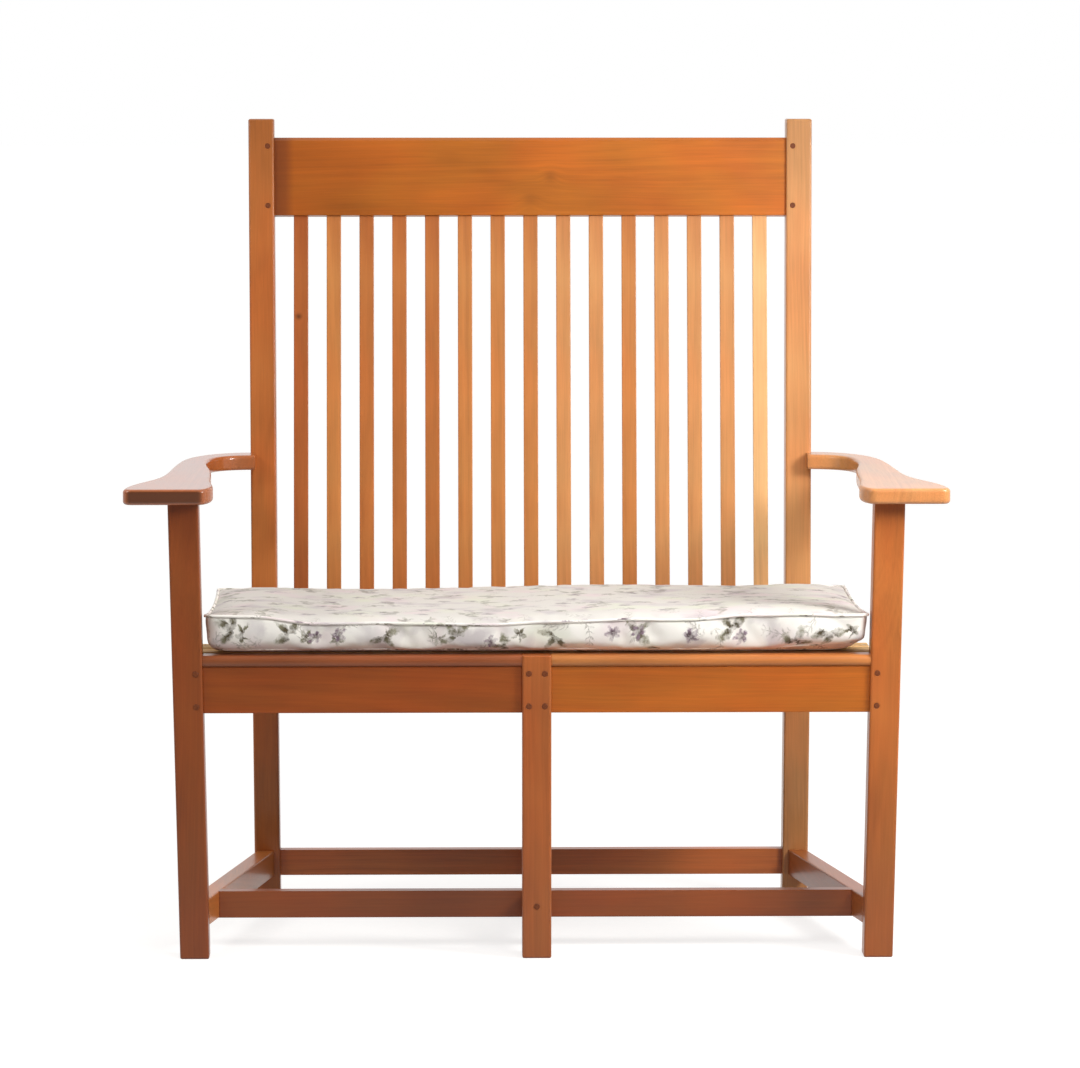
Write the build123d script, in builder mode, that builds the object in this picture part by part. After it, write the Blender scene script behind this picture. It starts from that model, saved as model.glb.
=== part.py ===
from build123d import *
from math import atan, cos, pi, sin
import os

# High-back settle of stained hardwood with flat serpentine arms, fifteen back slats,
# a centre front leg, a slatted deck and one loose box cushion.
# Millimetres, +Z up, front towards -Y. The origin is under the middle of the piece, on the floor.
# Heights are from the floor. Depths are measured back from the front face of the front legs.

os.makedirs("parts", exist_ok=True)

# Front legs: they lean outwards and widen a little towards the arms
front_leg_side = 41
front_leg_flare = 2
front_leg_lean = 14
arm_level = 643.5  # underside of the arms above the front legs
centre_leg_side = 41
leg_round = 3
foot_round = 2.8
arris_round = 1.6

# Back posts: upright to the seat, then raked back to the top
post_width = 38
post_depth = 44
post_lean = 8.5
post_height = 1169.5
rake_level = 430
rake_back = 105
seat_taper = 88.5  # from the front legs' outer faces in to the posts', at the floor

# Seat frame
seat_rail_top = 412.5
seat_rail_height = 65
seat_rail_thickness = 22
seat_rail_setback = 7
back_rail_top = 430
back_rail_height = 80
back_rail_thickness = 26
bearer_width = 22
bearer_height = 50

# Deck: a nosed front strip in two halves, and boards screwed down behind it
deck_thickness = 16
strip_depth = 35
strip_setback = 2
strip_nose = 7.4
board_width = 44
board_count = 7
board_end_inset = 5

# Stretchers
stretcher_top = 81.5
stretcher_height = 38
side_stretcher_thickness = 26
side_stretcher_front_lap = 0.5  # how far its inner face stands inside the leg's, at the floor
side_stretcher_back_inset = 9.5  # how far its inner face stands outside the post's
cross_stretcher_thickness = 22
front_stretcher_setback = 95
back_stretcher_inset = 10

# Back: crest rail and slats, measured along the rake
crest_height = 117.2
crest_drop = 26.4
crest_thickness = 22
crest_inset = 6
crest_bevel = 5
slat_count = 15
slat_margin = 32  # from the post's inner face at the floor to the middle of the end slat
slat_width = 21.5
slat_thickness = 12
slat_arris = 1

# Arms: a flat board, wide in front, that narrows and curls in to the back post
arm_thickness = 22
arm_rise = 8
arm_overhang = 30
arm_inner_overhang = 22.5  # past the front leg, at the arm's front edge
arm_outer_overhang = 60.5
arm_lap = 7
arm_neck_setback = 3  # behind the face of the back post
arm_neck_length = 52
arm_outer_corner = 12
arm_nose = 15  # how far the front edge stops short of the inner one
arm_inner_corner = 14
arm_edge_round = 5
# Share of the arm's length from its front edge, and of its front width from its inner edge
arm_outer_shares = (
    (0.16, 0.895),
    (0.286, 0.714),
    (0.473, 0.611),
    (0.714, 0.548),
    (0.875, 0.405),
    (0.962, 0.143),
)
arm_inner_shares = (
    (0.05, 0.035),
    (0.12, 0.027),
    (0.214, 0.0635),
    (0.554, 0.143),
    (0.768, 0.206),
    (0.866, 0.08),
)

# Joints
tenon_thickness = 10
slat_tenon_thickness = 7
slat_tenon_width = 15
slat_tenon_length = 18
tenon_margin = 10  # rail height left above and below a tenon
rail_tenon = 17
post_tenon = 14
side_tenon = 20
side_back_tenon = 10
stretcher_tenon = 12
stretcher_tenon_margin = 8
leg_tenon_side = 24
leg_tenon_length = 12
arm_tenon_width = 14
arm_tenon_height = 10
bearer_tenon = 12
tenon_root = 6  # how far a tenon's block reaches back into its own rail
joint_fit = 0.15
halving_fit = 0.1
overrun = 20

# Pegs, plug and screws
peg_diameter = 8
peg_length = 29
peg_proud = 0.6
peg_bevel = 0.4
peg_inset = 9.4  # from the shoulder of the joint
peg_margin = 9.5  # from the rail's upper and lower edges
crest_peg_margin = 14
peg_fit = 0.08
plug_level = 73.5
plug_length = 7
screw_head_diameter = 7.6
screw_head_height = 3.2
screw_shank_diameter = 4
stretcher_screw_length = 66
deck_screw_length = 34
deck_screw_depth = 0.4

# Cushion: one box cushion with a welt round each edge. The seat is made to hold it
cushion_width = 928
cushion_depth = 455
cushion_setback = 5
cushion_side_gap = 4.5  # to the front leg, at the deck
cushion_back_gap = 15  # to the face of the back post
cushion_boxing = 44
cushion_crown = 16
cushion_end_crown = 1
cushion_draw = 4  # how far the sides pull in between the corners
cushion_corner = 16
cushion_lift = 0.3
cover_thickness = 2
core_gap = 0.3
welt_diameter = 6
# Places of the sections along the cushion, as shares of its half width
cushion_station_shares = (-1, -0.86, -0.5, 0, 0.5, 0.86, 1)

# Places that follow from the sizes above. A spread is an outside width at the floor
deck_top = seat_rail_top + deck_thickness
front_leg_splay = (front_leg_lean - front_leg_flare) * deck_top / arm_level  # of its inner face, at the deck
front_spread = cushion_width + 2 * (cushion_side_gap + front_leg_side - front_leg_splay)
post_spread = front_spread - 2 * seat_taper
post_setback = cushion_setback + cushion_depth + cushion_back_gap
slat_pitch = (post_spread - 2 * post_width - 2 * slat_margin) / (slat_count - 1)
side_stretcher_front_inner = front_spread / 2 - front_leg_side - side_stretcher_front_lap
side_stretcher_back_inner = post_spread / 2 - post_width + side_stretcher_back_inset
arm_neck_front = post_setback + arm_neck_setback
arm_neck_back = arm_neck_front + arm_neck_length
overall_depth = arm_overhang + post_setback + post_depth + rake_back
front = arm_overhang - overall_depth / 2
rake_slope = rake_back / (post_height - rake_level)
rake_angle = atan(rake_slope)
seat_rail_bottom = seat_rail_top - seat_rail_height
stretcher_bottom = stretcher_top - stretcher_height
leg_back = front + front_leg_side
post_face = front + post_setback
# Plane of the back: it lies on the posts' raked front faces, local y runs up the rake
rake_plane = Plane(
    origin=(0, post_face, rake_level), x_dir=(1, 0, 0), z_dir=(0, -cos(rake_angle), sin(rake_angle))
)
arm_tilt = atan(arm_rise / post_setback)
arm_plane = Plane(origin=(0, front, arm_level), x_dir=(1, 0, 0), z_dir=(0, -sin(arm_tilt), cos(arm_tilt)))


def front_leg_width(level):
    return front_leg_side + front_leg_flare * level / arm_level


def front_leg_outer(level):
    return front_spread / 2 + front_leg_lean * level / arm_level


def front_leg_inner(level):
    return front_leg_outer(level) - front_leg_width(level)


def front_leg_middle(level):
    return (front_leg_outer(level) + front_leg_inner(level)) / 2


def post_outer(level):
    return post_spread / 2 + post_lean * level / post_height


def post_inner(level):
    return post_outer(level) - post_width


def post_front(level):
    return post_face + max(0, level - rake_level) * rake_slope


def finish(builder, name):
    """Labels a finished piece and writes it."""
    builder.part.label = name
    export_step(builder.part, f"parts/{name}.step")


def finish_pair(builder, name):
    """Writes a piece of the right-hand side and its mirror image."""
    finish(builder, f"{name}_right")
    with BuildPart() as twin:
        mirror(builder.part, about=Plane.YZ)
    finish(twin, f"{name}_left")


def tongue(at, wide, high, deep, play=0, mode=Mode.ADD):
    """A tenon standing on the plane at, or with play and SUBTRACT the mortise for it."""
    with Locations(at.offset(-tenon_root)):
        Box(
            wide + 2 * play,
            high + 2 * play,
            tenon_root + deep + play,
            align=(Align.CENTER, Align.CENTER, Align.MIN),
            mode=mode,
        )


def across(x, y, z, side=1):
    """A plane that faces along X, away from the middle where side is 1."""
    return Plane(origin=(x, y, z), x_dir=(0, side, 0), z_dir=(side, 0, 0))


def back_to_front(x, y, z, side=1):
    """A plane that faces back where side is 1, and to the front where it is -1."""
    return Plane(origin=(x, y, z), x_dir=(-side, 0, 0), z_dir=(0, side, 0))


def opposite(place):
    """The same plane on the other side of the settle."""
    return Plane(
        origin=(-place.origin.X, place.origin.Y, place.origin.Z),
        x_dir=(-place.x_dir.X, place.x_dir.Y, place.x_dir.Z),
        z_dir=(-place.z_dir.X, place.z_dir.Y, place.z_dir.Z),
    )


def both_sides(*places):
    return [*places, *(opposite(place) for place in places)]


def drill(at, radius, deep, mode=Mode.SUBTRACT):
    """A round hole, or with ADD a round pin, into the face on the plane at."""
    with Locations(at):
        Cylinder(radius, deep, align=(Align.CENTER, Align.CENTER, Align.MAX), mode=mode)


# Middle heights of the rails and the planes of their joints, on the right-hand side
rail_mid = seat_rail_top - seat_rail_height / 2
back_rail_mid = back_rail_top - back_rail_height / 2
stretcher_mid = stretcher_top - stretcher_height / 2
front_rail_y = front + seat_rail_setback + seat_rail_thickness / 2
back_rail_y = post_face + crest_inset + crest_thickness / 2
back_rail_front = back_rail_y - back_rail_thickness / 2
back_stretcher_y = post_face + back_stretcher_inset + cross_stretcher_thickness / 2
front_stretcher_y = front + front_stretcher_setback + cross_stretcher_thickness / 2

rail_tenon_height = seat_rail_height - 2 * tenon_margin
back_tenon_height = back_rail_height - 2 * tenon_margin
stretcher_tenon_height = stretcher_height - 2 * stretcher_tenon_margin
bearer_tenon_height = bearer_height - 2 * tenon_margin
bearer_mid = seat_rail_top - bearer_height / 2

rail_into_leg = across(front_leg_inner(rail_mid), front_rail_y, rail_mid)
rail_into_centre = across(centre_leg_side / 2, front_rail_y, rail_mid, -1)
back_rail_into_post = across(post_inner(back_rail_mid), back_rail_y, back_rail_mid)
back_stretcher_into_post = across(post_inner(stretcher_mid), back_stretcher_y, stretcher_mid)


class Diagonal:
    """A rail in plan from the front leg's back face to the back post's front face."""

    def __init__(self, front_x, back_x, level):
        start = Vector(front_x, leg_back, level)
        end = Vector(back_x, post_face, level)
        self.along = (end - start).normalized()
        self.length = (end - start).length
        self.middle = (start + end) / 2
        across_dir = Vector(-self.along.Y, self.along.X, 0)
        self.into_post = Plane(origin=end, x_dir=across_dir, z_dir=self.along)
        self.into_leg = Plane(origin=start, x_dir=across_dir * -1, z_dir=self.along * -1)

    def plan(self, level):
        return Plane(origin=(self.middle.X, self.middle.Y, level), x_dir=self.along, z_dir=(0, 0, 1))

    def x_at(self, y):
        return self.middle.X + (y - self.middle.Y) * self.along.X / self.along.Y


side_rail_line = Diagonal(
    front_leg_middle(rail_mid), (post_outer(rail_mid) + post_inner(rail_mid)) / 2, rail_mid
)
side_stretcher_line = Diagonal(
    side_stretcher_front_inner + side_stretcher_thickness / 2,
    side_stretcher_back_inner + side_stretcher_thickness / 2,
    stretcher_mid,
)
side_stretcher_half_run = side_stretcher_thickness / 2 / side_stretcher_line.along.Y
front_stretcher_reach = side_stretcher_line.x_at(front_stretcher_y) - side_stretcher_half_run
front_stretcher_into_side = across(front_stretcher_reach, front_stretcher_y, stretcher_mid)

# Heights along the rake
post_run = (post_height - rake_level) / cos(rake_angle)
crest_top = post_run - crest_drop
crest_bottom = crest_top - crest_height
crest_mid = crest_bottom + crest_height / 2
crest_tenon_height = crest_height - 2 * tenon_margin
crest_centre = -crest_inset - crest_thickness / 2
slat_places = [slat_pitch * (i - (slat_count - 1) / 2) for i in range(slat_count)]


def on_rake(x, up, out=0):
    """The point x across, up the rake, and out to the front of the posts' faces."""
    return rake_plane.from_local_coords((x, up, out))


def level_on_rake(up):
    return on_rake(0, up).Z


crest_into_post = Plane(
    origin=on_rake(post_inner(level_on_rake(crest_mid)), crest_mid, crest_centre),
    x_dir=rake_plane.z_dir * -1,
    z_dir=(1, 0, 0),
)


def slat_up(x):
    return Plane(origin=on_rake(x, crest_bottom, crest_centre), x_dir=(1, 0, 0), z_dir=rake_plane.y_dir)


def slat_down(x):
    return Plane(origin=on_rake(x, 0, crest_centre), x_dir=(-1, 0, 0), z_dir=rake_plane.y_dir * -1)


def slat_tongue(at, play=0, mode=Mode.ADD):
    tongue(at, slat_tenon_width, slat_tenon_thickness, slat_tenon_length, play, mode)


def seat_peg_places(shoulder, side):
    """Planes on the legs' front faces for the two pegs of a seat rail's tenon."""
    for level in (seat_rail_top - peg_margin, seat_rail_bottom + peg_margin):
        yield back_to_front(shoulder(level) + side * peg_inset, front, level, -1)


def leg_pegs():
    return seat_peg_places(front_leg_inner, 1)


def centre_leg_pegs():
    return seat_peg_places(lambda level: centre_leg_side / 2, -1)


def crest_pegs():
    """Planes on the post's raked front face for the two pegs of the crest rail's tenon."""
    for up in (crest_top - crest_peg_margin, crest_bottom + crest_peg_margin):
        place = on_rake(post_inner(level_on_rake(up)) + peg_inset, up)
        yield Plane(origin=place, x_dir=(1, 0, 0), z_dir=rake_plane.z_dir)


arm_joint_level = arm_level + arm_rise + arm_thickness / 2
arm_joint_y = (post_front(arm_joint_level) + front + arm_neck_back) / 2
arm_into_post = across(post_outer(arm_joint_level), arm_joint_y, arm_joint_level, -1)
leg_into_arm = Plane(
    origin=arm_plane.from_local_coords((front_leg_middle(arm_level), front_leg_side / 2, 0)),
    x_dir=(1, 0, 0),
    z_dir=arm_plane.z_dir,
)
bearer_into_leg = back_to_front(0, front + centre_leg_side, bearer_mid, -1)
bearer_into_rail = back_to_front(0, back_rail_front, bearer_mid)
centre_stretcher_into_back = back_to_front(0, back_stretcher_y - cross_stretcher_thickness / 2, stretcher_mid)
plug_place = back_to_front(0, front, plug_level, -1)

# Front leg
with BuildPart() as front_leg:
    leg_blank_top = arm_level + overrun
    for height in (0, leg_blank_top):
        with BuildSketch(Plane((front_leg_middle(height), front + front_leg_side / 2, height))):
            Rectangle(front_leg_width(height), front_leg_side)
    loft(ruled=True)
    split(bisect_by=arm_plane, keep=Keep.BOTTOM)
    fillet(front_leg.edges().filter_by(lambda e: e.length > arm_level / 2), leg_round)
    fillet(front_leg.faces().sort_by(Axis.Z)[0].edges(), foot_round)
    leg_blank = front_leg.part
    tongue(leg_into_arm, leg_tenon_side, leg_tenon_side, leg_tenon_length)
    tongue(rail_into_leg, tenon_thickness, rail_tenon_height, rail_tenon, joint_fit, Mode.SUBTRACT)
    tongue(side_rail_line.into_leg, tenon_thickness, rail_tenon_height, side_tenon, joint_fit, Mode.SUBTRACT)
    tongue(
        side_stretcher_line.into_leg,
        tenon_thickness,
        stretcher_tenon_height,
        stretcher_tenon,
        joint_fit,
        Mode.SUBTRACT,
    )
    for place in leg_pegs():
        drill(place, peg_diameter / 2 + peg_fit, peg_length + peg_fit)
finish_pair(front_leg, "front_leg")

# Back post: its raked outline lies on its leaning outer face, where local y runs up the lean
post_outer_plane = Plane(
    origin=(post_outer(0), post_face, 0), x_dir=(0, 1, 0), z_dir=(post_height, 0, -post_lean)
)
lean_stretch = Vector(post_lean, 0, post_height).length / post_height
with BuildPart() as back_post:
    with BuildSketch(post_outer_plane):
        with BuildLine():
            Polyline(
                (0, 0),
                (post_depth, 0),
                (post_depth, rake_level * lean_stretch),
                (post_depth + rake_back, post_height * lean_stretch),
                (rake_back, post_height * lean_stretch),
                (0, rake_level * lean_stretch),
                close=True,
            )
        make_face()
    extrude(amount=post_width, dir=(-1, 0, 0))
    fillet(back_post.edges().filter_by(lambda e: e.length > rake_level / 2), leg_round)
    chamfer(back_post.faces().sort_by(Axis.Z)[-1].edges(), arris_round)
    post_blank = back_post.part
    tongue(back_rail_into_post, tenon_thickness, back_tenon_height, post_tenon, joint_fit, Mode.SUBTRACT)
    tongue(
        side_rail_line.into_post,
        tenon_thickness,
        rail_tenon_height,
        side_back_tenon,
        joint_fit,
        Mode.SUBTRACT,
    )
    tongue(
        side_stretcher_line.into_post,
        tenon_thickness,
        stretcher_tenon_height,
        side_back_tenon,
        joint_fit,
        Mode.SUBTRACT,
    )
    tongue(
        back_stretcher_into_post,
        tenon_thickness,
        stretcher_tenon_height,
        stretcher_tenon,
        joint_fit,
        Mode.SUBTRACT,
    )
    tongue(crest_into_post, tenon_thickness, crest_tenon_height, post_tenon, joint_fit, Mode.SUBTRACT)
    tongue(arm_into_post, arm_tenon_width, arm_tenon_height, post_tenon, joint_fit, Mode.SUBTRACT)
    for place in crest_pegs():
        drill(place, peg_diameter / 2 + peg_fit, peg_length + peg_fit)
finish_pair(back_post, "back_post")

# Centre leg
with BuildPart() as centre_leg:
    with BuildSketch(Plane((0, front + centre_leg_side / 2, 0))):
        Rectangle(centre_leg_side, centre_leg_side)
    extrude(amount=deck_top)
    fillet(centre_leg.edges().filter_by(Axis.Z), leg_round)
    fillet(centre_leg.faces().sort_by(Axis.Z)[0].edges(), foot_round)
    fillet(centre_leg.faces().sort_by(Axis.Z)[-1].edges(), arris_round)
    tongue(bearer_into_leg, tenon_thickness, bearer_tenon_height, bearer_tenon, joint_fit, Mode.SUBTRACT)
    drill(plug_place, peg_diameter / 2 + peg_fit, plug_length + screw_head_height + peg_fit)
    drill(plug_place, screw_shank_diameter / 2 + peg_fit, centre_leg_side + overrun)
    for place in both_sides(rail_into_centre):
        tongue(place, tenon_thickness, rail_tenon_height, rail_tenon, joint_fit, Mode.SUBTRACT)
    for place in both_sides(*centre_leg_pegs()):
        drill(place, peg_diameter / 2 + peg_fit, peg_length + peg_fit)
finish(centre_leg, "centre_leg")

# Crest rail, with its top edges bevelled
with BuildPart() as crest_rail:
    with BuildSketch(rake_plane.offset(-crest_inset)):
        with Locations((0, crest_mid)):
            Rectangle(2 * post_outer(level_on_rake(crest_mid)) - post_width, crest_height)
    extrude(amount=-crest_thickness)
    top_edges = crest_rail.faces().sort_by(Axis.Z)[-1].edges()
    chamfer(top_edges.filter_by(Axis.X), crest_bevel)
    add(post_blank, mode=Mode.SUBTRACT)
    add(post_blank.mirror(Plane.YZ), mode=Mode.SUBTRACT)
    for place in both_sides(crest_into_post):
        tongue(place, tenon_thickness, crest_tenon_height, post_tenon)
    for place in both_sides(*crest_pegs()):
        drill(place, peg_diameter / 2 + peg_fit, peg_length + peg_fit)
    for x in slat_places:
        slat_tongue(slat_up(x), joint_fit, Mode.SUBTRACT)
finish(crest_rail, "crest_rail")

# Back seat rail: it carries the slats' lower ends and the back of the deck's bearer
with BuildPart() as back_seat_rail:
    with Locations((0, back_rail_y, back_rail_mid)):
        Box(2 * post_outer(back_rail_mid) - post_width, back_rail_thickness, back_rail_height)
    add(post_blank, mode=Mode.SUBTRACT)
    add(post_blank.mirror(Plane.YZ), mode=Mode.SUBTRACT)
    for place in both_sides(back_rail_into_post):
        tongue(place, tenon_thickness, back_tenon_height, post_tenon)
    tongue(bearer_into_rail, tenon_thickness, bearer_tenon_height, bearer_tenon, joint_fit, Mode.SUBTRACT)
    for x in slat_places:
        slat_tongue(slat_down(x), joint_fit, Mode.SUBTRACT)
finish(back_seat_rail, "back_seat_rail")

# Back slats
for number, x in enumerate(slat_places, start=1):
    with BuildPart() as back_slat:
        with BuildSketch(rake_plane.offset(crest_centre + slat_thickness / 2)):
            with Locations((x, crest_bottom)):
                Rectangle(slat_width, crest_bottom + overrun, align=(Align.CENTER, Align.MAX))
        extrude(amount=-slat_thickness)
        long_edges = back_slat.edges().filter_by(lambda e: e.length > crest_bottom / 2)
        fillet(long_edges, slat_arris)
        split(bisect_by=Plane.XY.offset(back_rail_top), keep=Keep.TOP)
        slat_tongue(slat_up(x))
        slat_tongue(slat_down(x))
    finish(back_slat, f"back_slat_{number:02d}")

# Arm: a board cut to its serpentine outline and notched round the back post
arm_length = arm_overhang + arm_neck_back
arm_inner_front = front_leg_inner(arm_level) - arm_inner_overhang
arm_outer_front = front_leg_outer(arm_level) + arm_outer_overhang
arm_front_width = arm_outer_front - arm_inner_front
neck_x = post_outer(arm_joint_level) - arm_lap


def arm_points(shares):
    for along, over in shares:
        yield (arm_inner_front + over * arm_front_width, along * arm_length - arm_overhang)


with BuildPart() as arm:
    with BuildSketch(arm_plane) as arm_outline:
        with BuildLine():
            Line((arm_inner_front + arm_nose, -arm_overhang), (arm_outer_front, -arm_overhang))
            Spline((arm_outer_front, -arm_overhang), *arm_points(arm_outer_shares), (neck_x, arm_neck_back))
            Line((neck_x, arm_neck_back), (neck_x, arm_neck_front))
            inner_start = (arm_inner_front + arm_nose, -arm_overhang)
            Spline(inner_start, *arm_points(arm_inner_shares), (neck_x, arm_neck_front))
        make_face()
        fillet(arm_outline.vertices().group_by(Axis.Y)[0].sort_by(Axis.X)[0], arm_inner_corner)
        fillet(arm_outline.vertices().group_by(Axis.Y)[0].sort_by(Axis.X)[-1], arm_outer_corner)
    extrude(amount=arm_thickness)
    faces_up = arm.faces().sort_by(Axis.Z)
    shown_edges = []
    for face in (faces_up[0], faces_up[-1]):
        shown_edges += face.edges().sort_by(Axis.X)[1:]  # all but the end that lies in the post
    fillet(shown_edges, arm_edge_round)
    add(post_blank, mode=Mode.SUBTRACT)
    tongue(arm_into_post, arm_tenon_width, arm_tenon_height, post_tenon)
    tongue(leg_into_arm, leg_tenon_side, leg_tenon_side, leg_tenon_length, joint_fit, Mode.SUBTRACT)
finish_pair(arm, "arm")

# Front seat rail, one half each side of the centre leg
with BuildPart() as front_seat_rail:
    with Locations((centre_leg_side / 2, front_rail_y, rail_mid)):
        Box(
            front_leg_middle(rail_mid) - centre_leg_side / 2,
            seat_rail_thickness,
            seat_rail_height,
            align=(Align.MIN, Align.CENTER, Align.CENTER),
        )
    add(leg_blank, mode=Mode.SUBTRACT)
    tongue(rail_into_leg, tenon_thickness, rail_tenon_height, rail_tenon)
    tongue(rail_into_centre, tenon_thickness, rail_tenon_height, rail_tenon)
    for place in (*leg_pegs(), *centre_leg_pegs()):
        drill(place, peg_diameter / 2 + peg_fit, peg_length + peg_fit)
finish_pair(front_seat_rail, "front_seat_rail")

# Front edge strip: the nosed first board of the deck, above the front rail
with BuildPart() as seat_edge_strip:
    with Locations((centre_leg_side / 2, front + strip_setback, seat_rail_top)):
        Box(
            front_leg_middle(rail_mid) - centre_leg_side / 2,
            strip_depth,
            deck_thickness,
            align=(Align.MIN, Align.MIN, Align.MIN),
        )
    fillet(seat_edge_strip.faces().sort_by(Axis.Y)[0].edges().filter_by(Axis.X), strip_nose)
    add(leg_blank, mode=Mode.SUBTRACT)
finish_pair(seat_edge_strip, "seat_edge_strip")

# Side seat rail
with BuildPart() as side_seat_rail:
    with BuildSketch(side_rail_line.plan(seat_rail_bottom)):
        Rectangle(side_rail_line.length + front_leg_side / 2, seat_rail_thickness)
    extrude(amount=seat_rail_height)
    add(leg_blank, mode=Mode.SUBTRACT)
    add(post_blank, mode=Mode.SUBTRACT)
    tongue(side_rail_line.into_leg, tenon_thickness, rail_tenon_height, side_tenon)
    tongue(side_rail_line.into_post, tenon_thickness, rail_tenon_height, side_back_tenon)

# Deck boards, their screws, and the bearer under their middles
first_board = front + strip_setback + strip_depth
deck_gap = (back_rail_front - first_board - board_count * board_width) / (board_count + 1)
screw_places = []
for number in range(board_count):
    board_y = first_board + deck_gap + board_width / 2 + number * (board_width + deck_gap)
    rail_x = side_rail_line.x_at(board_y)
    board_half = rail_x + seat_rail_thickness / 2 - board_end_inset
    board_screws = [(x, board_y, deck_top - deck_screw_depth) for x in (-rail_x, 0, rail_x)]
    screw_places += board_screws
    with BuildPart() as deck_board:
        with Locations((0, board_y, seat_rail_top)):
            Box(2 * board_half, board_width, deck_thickness, align=(Align.CENTER, Align.CENTER, Align.MIN))
        fillet(deck_board.faces().sort_by(Axis.Z)[-1].edges().filter_by(Axis.X), arris_round)
        add(leg_blank, mode=Mode.SUBTRACT)
        add(leg_blank.mirror(Plane.YZ), mode=Mode.SUBTRACT)
        for x, y, z in board_screws:
            deck_hole = Plane((x, y, deck_top))
            drill(deck_hole, screw_head_diameter / 2 + peg_fit, deck_screw_depth + screw_head_height)
            drill(deck_hole, screw_shank_diameter / 2 + peg_fit, deck_thickness + overrun)
    finish(deck_board, f"deck_board_{number + 1}")

with BuildPart() as drilled_side_rail:
    add(side_seat_rail.part)
    for x, y, z in screw_places:
        if x > 0:
            drill(Plane((x, y, z)), screw_shank_diameter / 2 + peg_fit, deck_screw_length + peg_fit)
finish_pair(drilled_side_rail, "side_seat_rail")

with BuildPart() as centre_bearer:
    with Locations((0, front + centre_leg_side, seat_rail_top)):
        Box(
            bearer_width,
            back_rail_front - front - centre_leg_side,
            bearer_height,
            align=(Align.CENTER, Align.MIN, Align.MAX),
        )
    tongue(bearer_into_leg, tenon_thickness, bearer_tenon_height, bearer_tenon)
    tongue(bearer_into_rail, tenon_thickness, bearer_tenon_height, bearer_tenon)
    for x, y, z in screw_places:
        if x == 0:
            drill(Plane((x, y, z)), screw_shank_diameter / 2 + peg_fit, deck_screw_length + peg_fit)
finish(centre_bearer, "centre_bearer")


def screw(at, length):
    """A countersunk wood screw driven into the plane at, its head on the plane."""
    with Locations(at.offset(-screw_head_height)):
        Cone(
            screw_shank_diameter / 2,
            screw_head_diameter / 2,
            screw_head_height,
            align=(Align.CENTER, Align.CENTER, Align.MIN),
        )
    drill(at.offset(-screw_head_height), screw_shank_diameter / 2, length - screw_head_height, Mode.ADD)


with BuildPart() as deck_screws:
    for place in screw_places:
        screw(Plane(place), deck_screw_length)
finish(deck_screws, "deck_screws")

# Side stretcher
with BuildPart() as side_stretcher:
    with BuildSketch(side_stretcher_line.plan(stretcher_bottom)):
        Rectangle(side_stretcher_line.length + front_leg_side / 2, side_stretcher_thickness)
    extrude(amount=stretcher_height)
    fillet(side_stretcher.edges().filter_by(lambda e: e.length > post_setback / 2), arris_round)
    stretcher_blank = side_stretcher.part
    add(leg_blank, mode=Mode.SUBTRACT)
    add(post_blank, mode=Mode.SUBTRACT)
    tongue(side_stretcher_line.into_leg, tenon_thickness, stretcher_tenon_height, stretcher_tenon)
    tongue(side_stretcher_line.into_post, tenon_thickness, stretcher_tenon_height, side_back_tenon)
    tongue(
        front_stretcher_into_side,
        tenon_thickness,
        stretcher_tenon_height,
        stretcher_tenon,
        joint_fit,
        Mode.SUBTRACT,
    )
finish_pair(side_stretcher, "side_stretcher")

# Front stretcher: between the side stretchers, halved over the centre stretcher
with BuildPart() as front_stretcher:
    with Locations((0, front_stretcher_y, stretcher_mid)):
        Box(2 * side_stretcher_line.x_at(front_stretcher_y), cross_stretcher_thickness, stretcher_height)
    add(stretcher_blank, mode=Mode.SUBTRACT)
    add(stretcher_blank.mirror(Plane.YZ), mode=Mode.SUBTRACT)
    for place in both_sides(front_stretcher_into_side):
        tongue(place, tenon_thickness, stretcher_tenon_height, stretcher_tenon)
    with Locations((0, front_stretcher_y, stretcher_mid)):
        Box(
            cross_stretcher_thickness + 2 * halving_fit,
            cross_stretcher_thickness + overrun,
            stretcher_height,
            align=(Align.CENTER, Align.CENTER, Align.MAX),
            mode=Mode.SUBTRACT,
        )
finish(front_stretcher, "front_stretcher")

# Back stretcher: between the back posts
with BuildPart() as back_stretcher:
    with Locations((0, back_stretcher_y, stretcher_mid)):
        Box(2 * post_outer(stretcher_mid) - post_width, cross_stretcher_thickness, stretcher_height)
    add(post_blank, mode=Mode.SUBTRACT)
    add(post_blank.mirror(Plane.YZ), mode=Mode.SUBTRACT)
    for place in both_sides(back_stretcher_into_post):
        tongue(place, tenon_thickness, stretcher_tenon_height, stretcher_tenon)
    tongue(
        centre_stretcher_into_back,
        tenon_thickness,
        stretcher_tenon_height,
        stretcher_tenon,
        joint_fit,
        Mode.SUBTRACT,
    )
finish(back_stretcher, "back_stretcher")

# Centre stretcher: from the centre leg to the back stretcher, halved under the front stretcher
centre_stretcher_start = front + centre_leg_side
centre_stretcher_run = back_stretcher_y - cross_stretcher_thickness / 2 - centre_stretcher_start
with BuildPart() as centre_stretcher:
    with Locations((0, centre_stretcher_start, stretcher_mid)):
        Box(
            cross_stretcher_thickness,
            centre_stretcher_run,
            stretcher_height,
            align=(Align.CENTER, Align.MIN, Align.CENTER),
        )
    tongue(centre_stretcher_into_back, tenon_thickness, stretcher_tenon_height, stretcher_tenon)
    with Locations((0, front_stretcher_y, stretcher_mid - halving_fit)):
        Box(
            cross_stretcher_thickness + overrun,
            cross_stretcher_thickness + 2 * halving_fit,
            stretcher_height,
            align=(Align.CENTER, Align.CENTER, Align.MIN),
            mode=Mode.SUBTRACT,
        )
    drill(plug_place, screw_shank_diameter / 2 + peg_fit, plug_length + stretcher_screw_length + peg_fit)
finish(centre_stretcher, "centre_stretcher")

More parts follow.
